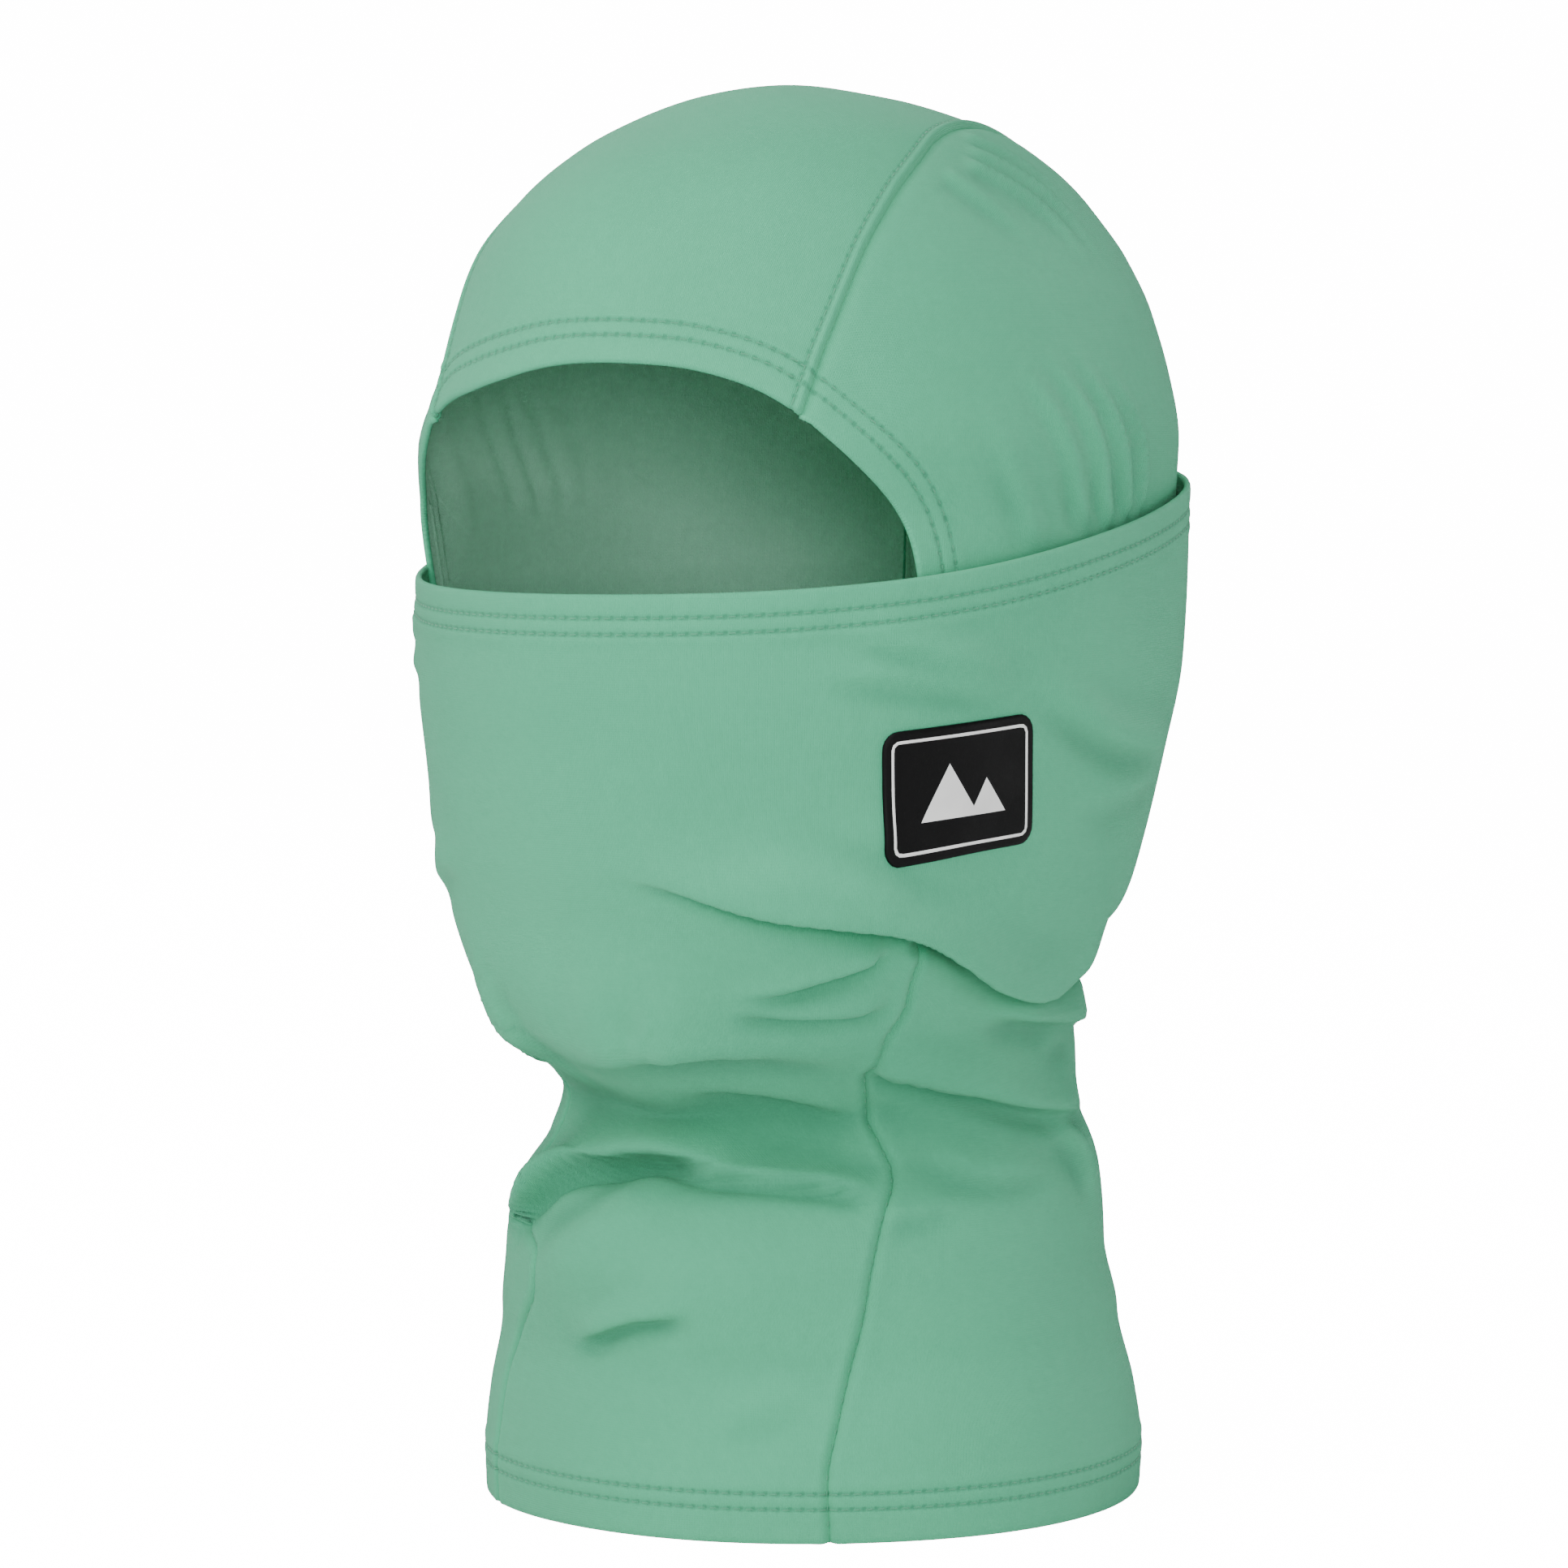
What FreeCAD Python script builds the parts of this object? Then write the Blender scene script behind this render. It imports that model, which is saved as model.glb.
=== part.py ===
"""Knitted ski balaclava standing on its bottom hem: a neck and face tube with a sewn-in three-panel hood.

Millimetres. +Z is up, the face looks along -Y and the wearer's left is +X.
The origin is the middle of the bottom hem's box, on the plane that the hem rests on.
"""

import FreeCAD, Part
import math
import os

os.makedirs("parts", exist_ok=True)

# ---- cloth and gaps -------------------------------------------------------
CLOTH = 1.2             # wall of every panel, brushed knit with its seam allowances spread out
CUT_GAP = 0.3           # clearance where one panel ends and the next begins
LAYER_GAP = 3.0         # the hood's outer face lies this far inside the face tube's outer face
REACH = 130.0           # half size of the cutting prisms, larger than the object

# ---- heights of the tube's seams and edges --------------------------------
THROAT_TOP = 96.0       # the throat panel reaches the chin's underside
JAW_SEAM = 121.0        # hood and neck back panel are sewn together at this height
MASK_LOW = 150.0        # below this the mask gathers when it is pulled down
TUBE_TOP = 240.0        # cloth above this height belongs to the hood
HOOD_TOP = 321.0
HEM_SIDE = [(-112.0, 207.5), (-90.0, 208.5), (-62.0, 211.0), (0.0, 220.5), (60.0, 230.0), (112.0, 236.0)]
FOLD_SIDE = [(-120.0, 197.0), (103.0, 238.0), (118.0, 240.5)]
SEAM_SIDE = [(-5.0, -60.0), (15.0, -60.0), (56.0, -51.0), (76.0, -41.0), (92.0, -37.0),
             (109.0, -47.0), (131.0, -50.0), (160.0, -50.0)]

# ---- stitching, label ------------------------------------------------------
THREAD = 0.4            # how far a thread stands off the cloth
ROW_WIDTH = 0.5         # width of one stitch row
BOTTOM_ROWS = (7.0, 10.4)
MASK_ROWS = (4.5, 8.0)
OPENING_ROWS = (5.5, 9.0)
CROWN_ROW = 1.8         # from the crown seam to the stitch row beside it
STITCH_STEP = 4.0       # from one stitch on the hood to the next
STITCH_SPACE = 0.5      # the gap between two stitches
STITCH_LIFT = 0.12      # straight stitches stand this far off the rounded hood
STITCH_RISE = 0.4       # and this far above it on the crown, where it lies level
STITCHES_SHOW = (223.0, 0.16)   # the hood is stitched above z = first + second * y
LABEL_SIZE = (39.0, 29.0)
LABEL_CORNER = 4.0
LABEL_CENTRE = (68.5, -46.0, 166.0)
LABEL_TURN = -68.5      # degrees about +Z from facing -Y to facing out of the cheek
LABEL_LEAN = -6.0       # degrees that its long side climbs towards the ear
LABEL_THICK = 1.1

# ---- outlines ----------------------------------------------------------------
# height, half width, front reach and back reach of the face and neck tube's outer face
TUBE_LEVELS = [
    (0.0, 74.5, -74.0, 78.5),
    (10.0, 75.0, -74.5, 80.0),
    (24.0, 74.0, -72.0, 76.5),
    (42.0, 71.0, -69.0, 70.5),
    (58.0, 68.0, -71.0, 68.5),
    (72.0, 66.0, -67.0, 69.0),
    (82.0, 62.5, -56.0, 66.5),
    (92.0, 60.0, -51.5, 61.5),
    (102.0, 61.0, -65.5, 64.5),
    (112.0, 62.5, -82.0, 66.5),
    (122.0, 67.0, -88.0, 67.0),
    (135.0, 73.5, -90.5, 74.0),
    (150.0, 76.0, -96.5, 85.0),
    (170.0, 78.5, -101.0, 94.5),
    (190.0, 80.5, -103.3, 101.0),
    (208.0, 80.5, -103.5, 103.0),
    (226.0, 80.5, -102.5, 103.5),
    (TUBE_TOP, 80.5, -102.0, 103.5),
]
# the same for the hood where it shows above the tube
CROWN_LEVELS = [
    (240.0, 79.0, -102.0, 100.5),
    (256.0, 76.8, -96.7, 97.2),
    (270.0, 73.0, -91.2, 92.0),
    (282.0, 67.2, -87.0, 86.5),
    (293.0, 59.5, -79.0, 78.0),
    (303.0, 50.5, -66.5, 65.5),
    (311.0, 39.5, -49.5, 46.0),
    (317.0, 24.0, -33.0, 26.0),
    (320.2, 9.0, -17.0, 7.0),
]
# half of the face opening as seen from the front: x and height
OPENING_FRONT = [(14.0, 257.0), (28.0, 255.5), (43.0, 249.5), (55.0, 239.0), (63.0, 222.5), (65.5, 205.0),
                 (65.0, 165.0), (61.0, 128.0)]
OPENING_LOW = 112.0
# crown seam as seen from above: x and y
CROWN_PLAN = [(47.0, -110.0), (49.0, -79.0), (51.0, -60.0), (48.5, -36.0), (43.0, -12.0), (37.0, 14.0),
              (32.0, 50.0), (31.0, 112.0)]


def closed_spline(points):
    """One smooth closed wire through the points."""
    curve = Part.BSplineCurve()
    curve.interpolate(Points=points, PeriodicFlag=True)
    return Part.Wire([curve.toShape()])


def section(level, offset):
    """The tube's closed outline at one level, grown by offset."""
    height, half_width, front, back = level
    middle = (front + back) / 2
    half_depth = (back - front) / 2
    points = []
    for step in range(20):
        turn = 2 * math.pi * step / 20
        x = (half_width + offset) * math.sin(turn)
        y = middle - (half_depth + offset) * math.cos(turn)
        points.append(FreeCAD.Vector(x, y, height))
    return closed_spline(points)


def loft(levels, offset, tip=None):
    """A smooth solid through the levels, grown by offset, that can end in a tip at the top."""
    profiles = [section(level, offset) for level in levels]
    if tip is not None:
        last = levels[-1]
        profiles.append(Part.Vertex(0.0, (last[2] + last[3]) / 2, tip))
    return Part.makeLoft(profiles, True, False)


def tube_solid(offset):
    """The face and neck tube as a full solid."""
    first = (TUBE_LEVELS[0][0] - 2.0,) + TUBE_LEVELS[0][1:]
    last = (TUBE_LEVELS[-1][0] + 4.0,) + TUBE_LEVELS[-1][1:]
    return loft([first] + TUBE_LEVELS + [last], offset)


def hood_solid(offset):
    """The hood as a full solid: inside the tube below, free above."""
    hidden = [level for level in TUBE_LEVELS if 100.0 < level[0] < 230.0]
    shrunk = [(z, half - LAYER_GAP, front + LAYER_GAP, back - LAYER_GAP) for z, half, front, back in hidden]
    return loft(shrunk + CROWN_LEVELS, offset, HOOD_TOP + offset)


def slab(low, high):
    """Everything between two heights."""
    return Part.makeBox(2 * REACH, 2 * REACH, high - low, FreeCAD.Vector(-REACH, -REACH, low))


def prism(points, direction):
    """A straight prism on a closed polygon."""
    return Part.Face(Part.makePolygon(points + points[:1])).extrude(direction)


def side_prism(outline):
    """Prism across the whole width from an outline of (y, z) points."""
    points = [FreeCAD.Vector(-REACH, y, z) for y, z in outline]
    return prism(points, FreeCAD.Vector(2 * REACH, 0, 0))


def below_line(line, drop=0.0):
    """Everything below a line that runs from front to back in side view."""
    outline = [(y, z - drop) for y, z in line]
    outline += [(REACH, line[-1][1] - drop), (REACH, -10.0), (-REACH, -10.0), (-REACH, line[0][1] - drop)]
    return side_prism(outline)


def between_lines(line, near, far):
    """A thin strip that follows a line in side view, from near to far below it."""
    return below_line(line, near).cut(below_line(line, far))


def front_zone(shift):
    """Everything in front of the neck seams, grown backwards by shift."""
    outline = [(y + shift, z) for z, y in SEAM_SIDE]
    return side_prism(outline + [(-REACH, SEAM_SIDE[-1][0]), (-REACH, SEAM_SIDE[0][0])])


def opening_wire():
    """The face opening's outline seen from the front."""
    right = [FreeCAD.Vector(x, -REACH, z) for x, z in OPENING_FRONT]
    left = [FreeCAD.Vector(-x, -REACH, z) for x, z in reversed(OPENING_FRONT)]
    low = [FreeCAD.Vector(40.0, -REACH, OPENING_LOW), FreeCAD.Vector(-40.0, -REACH, OPENING_LOW)]
    return closed_spline(right + low + left)


def opening_prism(grow):
    """The face opening as a prism through the front of the hood, grown by grow."""
    wire = opening_wire()
    if grow:
        wire = wire.makeOffset2D(grow)
    return Part.Face(wire).extrude(FreeCAD.Vector(0, REACH - 6.0, 0))


def crown_strip(inner, outer):
    """A strip along the left crown seam in plan, between two distances from it, at all heights."""
    near = [FreeCAD.Vector(x + inner, y, 100.0) for x, y in CROWN_PLAN]
    far = [FreeCAD.Vector(x + outer, y, 100.0) for x, y in reversed(CROWN_PLAN)]
    curves = []
    for points in (near, far):
        curve = Part.BSplineCurve()
        curve.interpolate(Points=points)
        curves.append(curve.toShape())
    ends = [Part.makeLine(near[-1], far[0]), Part.makeLine(far[-1], near[0])]
    wire = Part.Wire([curves[0], ends[0], curves[1], ends[1]])
    return Part.Face(wire).extrude(FreeCAD.Vector(0, 0, 250.0))


def mirrored(shape):
    """The shape on the wearer's other side."""
    return shape.mirror(FreeCAD.Vector(0, 0, 0), FreeCAD.Vector(1, 0, 0))


def rounded_rectangle(width, height, corner):
    """A rounded rectangle face about the origin, in the plane of X and Z."""
    box = Part.makeBox(width, 1.0, height, FreeCAD.Vector(-width / 2, 0, -height / 2))
    upright = [edge for edge in box.Edges if abs(edge.tangentAt(edge.FirstParameter).y) > 0.9]
    return box.makeFillet(corner, upright)


def on_cheek(shape):
    """Turns a flat shape drawn about the origin to where the label sits."""
    placed = shape.copy()
    placed.rotate(FreeCAD.Vector(0, 0, 0), FreeCAD.Vector(0, 1, 0), LABEL_LEAN)
    placed.rotate(FreeCAD.Vector(0, 0, 0), FreeCAD.Vector(0, 0, 1), -LABEL_TURN)
    placed.translate(FreeCAD.Vector(*LABEL_CENTRE))
    return placed


def thick(flat):
    """A flat face drawn in the plane of X and Z as a prism through the cheek."""
    moved = flat.copy()
    moved.translate(FreeCAD.Vector(0, -16.0, 0))
    return moved.extrude(FreeCAD.Vector(0, 32.0, 0))


def label_outline(inset):
    """The label's rounded rectangle as a prism through the cheek, inset all round."""
    width = LABEL_SIZE[0] - 2 * inset
    height = LABEL_SIZE[1] - 2 * inset
    plate = rounded_rectangle(width, height, LABEL_CORNER - inset * 0.6)
    front = [face for face in plate.Faces if abs(face.normalAt(0, 0).y) > 0.9 and face.CenterOfMass.y < 0.5]
    return on_cheek(thick(front[0]))


def peaks():
    """Two plain mountain peaks as a prism through the cheek."""
    outline = [(-13.0, -7.5), (-4.0, 7.0), (0.5, 0.0), (4.0, 4.0), (13.0, -7.5)]
    points = [FreeCAD.Vector(x, 0, z) for x, z in outline]
    return on_cheek(thick(Part.Face(Part.makePolygon(points + points[:1]))))


def save(name, shape):
    """Writes one node and reports its solids."""
    solids = [solid for solid in shape.Solids if solid.Volume > 0.01]
    whole = solids[0] if len(solids) == 1 else Part.makeCompound(solids)
    box = whole.BoundBox
    size = f"{box.XLength:.1f} x {box.YLength:.1f} x {box.ZLength:.1f} mm"
    print(f"{name}: {len(solids)} solid(s), {whole.Volume / 1000:.2f} cm3, valid {whole.isValid()}, {size}")
    whole.exportStep(f"parts/{name}.step")


def tube_panels(shell):
    """The face and neck tube: moving mask, gathering stretch below it, throat and neck back."""
    save("mask_panel", shell.common(slab(MASK_LOW + CUT_GAP, TUBE_TOP + 3)).common(below_line(HEM_SIDE)))
    back = slab(-5.0, JAW_SEAM + CUT_GAP).cut(front_zone(CUT_GAP))
    save("mask_gather_panel", shell.common(slab(THROAT_TOP + CUT_GAP, MASK_LOW)).cut(back))
    save("throat_panel", shell.common(slab(0.0, THROAT_TOP)).common(front_zone(0.0)))
    save("neck_back_panel", shell.common(slab(0.0, JAW_SEAM)).cut(front_zone(CUT_GAP)))


def hood_panels(shell):
    """The hood: a centre panel, two side panels, and the lower part that stays inside the mask."""
    open_shell = shell.cut(opening_prism(0.0))
    below_fold = below_line(FOLD_SIDE, CUT_GAP)
    save("hood_lower_panel", open_shell.common(slab(JAW_SEAM + CUT_GAP, 245.0)).common(below_fold))
    crown = open_shell.cut(below_line(FOLD_SIDE))
    left = crown_strip(CUT_GAP, REACH)
    right = mirrored(left)
    save("crown_side_panel_left", crown.common(left))
    save("crown_side_panel_right", crown.common(right))
    middle = crown.cut(crown_strip(0.0, REACH))
    save("crown_centre_panel", middle.cut(mirrored(crown_strip(0.0, REACH))))


def tube_stitching(shell, inner):
    """The stitch rows that lie on the tube, and the jaw seam inside it."""
    rows = [shell.common(slab(z, z + ROW_WIDTH)) for z in BOTTOM_ROWS]
    save("bottom_hem_stitching", Part.makeCompound(rows))
    rows = [shell.common(between_lines(HEM_SIDE, row, row + ROW_WIDTH)) for row in MASK_ROWS]
    save("mask_hem_stitching", Part.makeCompound(rows))
    seam = front_zone(0.5).cut(front_zone(-0.3)).common(slab(0.5, JAW_SEAM + 8.0))
    for name, side in (("left", 1.0), ("right", -1.0)):
        half = Part.makeBox(REACH, 2 * REACH, REACH, FreeCAD.Vector(0 if side > 0 else -REACH, -REACH, 0))
        row = shell.common(seam).common(half)
        save(f"neck_seam_stitching_{name}", row.cut(slab(6.0, 12.0)))
    strip = Part.makeBox(0.8, REACH, REACH, FreeCAD.Vector(-0.4, 0, MASK_LOW + 1.0))
    save("mask_back_seam_stitching", shell.common(strip).common(below_line(HEM_SIDE, 10.0)))
    ring = inner.common(slab(JAW_SEAM + 0.6, JAW_SEAM + 2.6))
    save("jaw_seam_stitching", ring.cut(front_zone(2.0)))


def stitch_row(surface, cutter, keep):
    """Separate stitches along the line where a cutting sheet meets a surface, where keep(point) is true."""
    stitches = []
    for edges in Part.sortEdges(surface.section(cutter).Edges):
        points = Part.Wire(edges).discretize(Distance=STITCH_STEP)
        for start, end in zip(points, points[1:]):
            run = end - start
            if run.Length < STITCH_STEP / 2 or not (keep(start) and keep(end)):
                continue
            long = run.Length - STITCH_SPACE
            stitches.append(Part.makeCylinder(THREAD / 2, long, start, run))
    return stitches


def hood_stitching(surface):
    """The stitch rows on the hood: two round the face opening and one beside each crown seam."""
    def shows(point):
        """True where the hood is well above the mask's top edge."""
        return point.z > STITCHES_SHOW[0] + STITCHES_SHOW[1] * point.y

    sweep = FreeCAD.Vector(0, REACH - 6.0, 0)
    rows = []
    for row in OPENING_ROWS:
        rows += stitch_row(surface, opening_wire().makeOffset2D(row).extrude(sweep), shows)
    save("face_opening_stitching", Part.makeCompound(rows))
    curve = Part.BSplineCurve()
    curve.interpolate(Points=[FreeCAD.Vector(x - CROWN_ROW, y, 100.0) for x, y in CROWN_PLAN])
    sheet = curve.toShape().extrude(FreeCAD.Vector(0, 0, 250.0))
    hem = opening_prism(OPENING_ROWS[1] + 1.5)
    row = stitch_row(surface, sheet, lambda point: shows(point) and not hem.isInside(point, 0.1, True))
    save("crown_seam_stitching_left", Part.makeCompound(row))
    save("crown_seam_stitching_right", mirrored(Part.makeCompound(row)))


def labels():
    """The cheek label with its print, and the blank care label inside the neck."""
    ground = tube_solid(LABEL_THICK).cut(tube_solid(0.1))
    save("cheek_label", ground.common(label_outline(0.0)))
    print_layer = tube_solid(LABEL_THICK + 0.35).cut(tube_solid(LABEL_THICK + 0.05))
    frame_line = label_outline(2.2).cut(label_outline(3.2))
    art = frame_line.fuse(peaks())
    save("cheek_label_print", print_layer.common(art))
    lining = tube_solid(-CLOTH - 0.3).cut(tube_solid(-CLOTH - 0.8))
    tab = Part.makeBox(26.0, REACH, 30.0, FreeCAD.Vector(-13.0, 0, 13.0))
    save("care_label", lining.common(tab))


tube_panels(tube_solid(0.0).cut(tube_solid(-CLOTH)))
hood_panels(hood_solid(0.0).cut(hood_solid(-CLOTH)))
tube_stitching(tube_solid(0.05 + THREAD).cut(tube_solid(0.05)),
               tube_solid(-CLOTH - 0.1).cut(tube_solid(-LAYER_GAP + 0.1)))
stitch_face = hood_solid(STITCH_LIFT + THREAD / 2)
stitch_face.translate(FreeCAD.Vector(0, 0, STITCH_RISE))
hood_stitching(stitch_face)
labels()
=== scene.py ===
"""Knitted ski balaclava standing on its bottom hem: face and neck tube, sewn-in hood, cheek label.

Metres. +Z is up, the face looks along -Y and the wearer's left is +X. Tables marked MM hold millimetres.
"""
import logging
import math
from dataclasses import dataclass, field
from enum import Enum
from typing import Optional, Sequence

import bpy
import numpy as np
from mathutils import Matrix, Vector


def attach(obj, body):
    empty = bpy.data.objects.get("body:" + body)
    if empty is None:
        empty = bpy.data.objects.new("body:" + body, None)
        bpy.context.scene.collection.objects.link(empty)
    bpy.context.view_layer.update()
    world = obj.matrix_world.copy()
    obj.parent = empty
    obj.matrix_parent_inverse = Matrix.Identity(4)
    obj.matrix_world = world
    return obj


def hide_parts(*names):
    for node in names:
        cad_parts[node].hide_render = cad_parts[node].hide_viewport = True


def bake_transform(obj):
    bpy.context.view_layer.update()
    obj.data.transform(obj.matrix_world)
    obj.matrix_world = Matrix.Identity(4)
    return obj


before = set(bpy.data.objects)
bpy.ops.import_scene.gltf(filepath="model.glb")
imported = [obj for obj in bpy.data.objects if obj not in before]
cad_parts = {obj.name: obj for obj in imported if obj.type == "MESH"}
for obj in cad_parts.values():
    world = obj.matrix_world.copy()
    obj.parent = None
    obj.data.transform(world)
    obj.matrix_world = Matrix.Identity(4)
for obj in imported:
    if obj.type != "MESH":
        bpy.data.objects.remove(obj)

logging.basicConfig(level=logging.INFO, format="%(message)s")
log = logging.getLogger("balaclava")
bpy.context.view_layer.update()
MM = 0.001
Array = np.ndarray

# height, half width, front reach, back reach of the face and neck tube, MM
TUBE_LEVELS = (
    (0.0, 74.5, -74.0, 78.5), (10.0, 75.0, -74.5, 80.0), (24.0, 74.0, -72.0, 76.5),
    (42.0, 71.0, -69.0, 70.5), (58.0, 68.0, -71.0, 68.5), (72.0, 66.0, -67.0, 69.0),
    (82.0, 62.5, -56.0, 66.5), (92.0, 60.0, -51.5, 61.5), (102.0, 61.0, -65.5, 64.5),
    (112.0, 62.5, -82.0, 66.5), (122.0, 67.0, -88.0, 67.0),
    (135.0, 73.5, -90.5, 74.0), (150.0, 76.0, -96.5, 85.0), (170.0, 78.5, -101.0, 94.5),
    (190.0, 80.5, -103.3, 101.0), (208.0, 80.5, -103.5, 103.0), (226.0, 80.5, -102.5, 103.5),
    (240.0, 80.5, -102.0, 103.5),
)
# the same for the hood above the tube, MM
CROWN_LEVELS = (
    (240.0, 79.0, -102.0, 100.5), (256.0, 76.8, -96.7, 97.2), (270.0, 73.0, -91.2, 92.0),
    (282.0, 67.2, -87.0, 86.5), (293.0, 59.5, -79.0, 78.0), (303.0, 50.5, -66.5, 65.5),
    (311.0, 39.5, -49.5, 46.0), (317.0, 24.0, -33.0, 26.0), (320.2, 9.0, -17.0, 7.0),
)
CROWN_TOP = 321.0
HOOD_INSIDE_TUBE = 3.0
# top edge of the face tube in side view: y and height, MM
HEM_LINE = ((-112.0, 207.5), (-90.0, 208.5), (-62.0, 211.0), (0.0, 220.5), (60.0, 230.0), (112.0, 236.0))
# seam between hood and neck back: turn from the front in degrees and height, MM
JAW_LINE = ((0.0, 131.0), (59.0, 131.0), (71.0, 126.0), (85.0, 121.0), (103.0, 119.0), (180.0, 118.0))
# seam between throat and neck back: height and turn, on the wearer's left and right
LEFT_SEAM = ((0.0, 36.0), (15.0, 35.5), (27.0, 37.0), (41.0, 40.0), (56.0, 45.0), (68.0, 47.0), (76.0, 48.0),
             (80.0, 47.0), (86.0, 44.0), (92.0, 41.0), (100.0, 45.0), (109.0, 54.5), (119.0, 60.0),
             (131.0, 60.0), (300.0, 60.0))
RIGHT_SEAM = ((0.0, 38.0), (30.0, 38.0), (40.0, 35.0), (50.0, 29.0), (58.0, 28.0), (63.0, 34.0),
              (68.0, 43.0), (76.0, 46.0), (86.0, 44.0), (100.0, 46.0), (109.0, 55.0), (119.0, 61.0),
              (131.0, 59.0), (300.0, 59.0))
# half of the face opening from the front: x and height, MM
OPENING = ((0.0, 258.6), (14.0, 258.6), (28.0, 257.3), (43.0, 251.8), (54.5, 241.5), (62.3, 225.0),
           (65.0, 207.0), (64.5, 165.0), (61.0, 132.0))
# crown seam from above: x and y, MM
CROWN_PLAN = ((47.0, -110.0), (49.0, -79.0), (51.0, -60.0), (48.5, -36.0), (43.0, -12.0), (37.0, 14.0),
              (32.0, 50.0), (31.0, 112.0))


# ---- numbers and lines --------------------------------------------------------------------------
def smooth(t: Array) -> Array:
    """Goes softly from 0 to 1 as t goes from 0 to 1."""
    t = np.clip(t, 0.0, 1.0)
    return t * t * (3.0 - 2.0 * t)


def bell(t: Array) -> Array:
    """1 at zero, falling away softly on both sides."""
    return np.exp(-t * t)


def unit(v: Array) -> Array:
    """Rows of v at length 1."""
    return v / np.maximum(np.linalg.norm(v, axis=-1, keepdims=True), 1e-12)


def monotone(knots: Array, values: Array, x: Array) -> Array:
    """A smooth curve through the knots that never overshoots them.

    Args:
        knots: rising positions.
        values: the curve's value at each knot.
        x: where the curve is wanted.

    Returns:
        The values at x.
    """
    step = np.diff(knots)
    slope = np.diff(values) / step
    lean = np.zeros_like(values)
    lean[0], lean[-1] = slope[0], slope[-1]
    same = slope[:-1] * slope[1:] > 0
    near, far = 2 * step[1:] + step[:-1], step[1:] + 2 * step[:-1]
    lean[1:-1][same] = (near + far)[same] / (near[same] / slope[:-1][same] + far[same] / slope[1:][same])
    x = np.clip(x, knots[0], knots[-1])
    i = np.clip(np.searchsorted(knots, x) - 1, 0, len(knots) - 2)
    h = step[i]
    t = (x - knots[i]) / h
    return (values[i] * (1 + 2 * t) * (1 - t) ** 2 + lean[i] * h * t * (1 - t) ** 2
            + values[i + 1] * t * t * (3 - 2 * t) + lean[i + 1] * h * t * t * (t - 1))


def evenly(path: Array, spacing: float = 0.0, count: int = 0) -> Array:
    """The same path with points at even distances.

    Args:
        path: points along the path.
        spacing: wanted distance between points, used where count is 0.
        count: wanted number of points.

    Returns:
        The new points.
    """
    run = np.concatenate([[0.0], np.cumsum(np.linalg.norm(np.diff(path, axis=0), axis=1))])
    number = count or max(3, int(round(run[-1] / spacing)) + 1)
    wanted = np.linspace(0.0, run[-1], number)
    return np.stack([np.interp(wanted, run, path[:, k]) for k in range(path.shape[1])], axis=1)


def flowing(knots: Sequence[Sequence[float]], spacing: float) -> Array:
    """A smooth line through the knots, with points at even distances.

    Args:
        knots: points that the line goes through, in order.
        spacing: distance between the points of the line.

    Returns:
        The line's points.
    """
    p = np.asarray(knots, float)
    run = np.concatenate([[0.0], np.cumsum(np.linalg.norm(np.diff(p, axis=0), axis=1))])
    lean = np.gradient(p, run, axis=0)
    t = np.linspace(0.0, run[-1], max(12, int(run[-1] / spacing * 2)))
    i = np.clip(np.searchsorted(run, t, side="right") - 1, 0, len(run) - 2)
    h = (run[i + 1] - run[i])[:, None]
    s = ((t - run[i])[:, None]) / h
    line = (p[i] * (1 + 2 * s) * (1 - s) ** 2 + lean[i] * h * s * (1 - s) ** 2
            + p[i + 1] * s * s * (3 - 2 * s) + lean[i + 1] * h * s * s * (s - 1))
    return evenly(line, spacing)


def graded(length: float, coarse: float, fine: float, first: float = 0.0, last: float = 0.0) -> Array:
    """Positions from 0 to 1 along a length, closer together in a band at either end.

    Args:
        length: the whole length.
        coarse: spacing in the middle.
        fine: spacing in the end bands.
        first: width of the band at the start.
        last: width of the band at the end.

    Returns:
        The positions as shares of the length.
    """
    head = np.arange(0.0, first, fine)
    tail = length - np.arange(0.0, last, fine)[::-1] if last else np.array([length])
    start = len(head) * fine
    stop = tail[0] - fine if last else length
    middle = np.linspace(start, stop, max(2, int(round((stop - start) / coarse)) + 1))
    if not last:
        middle = middle[:-1]
    return np.concatenate([head, middle, tail]) / length


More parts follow.
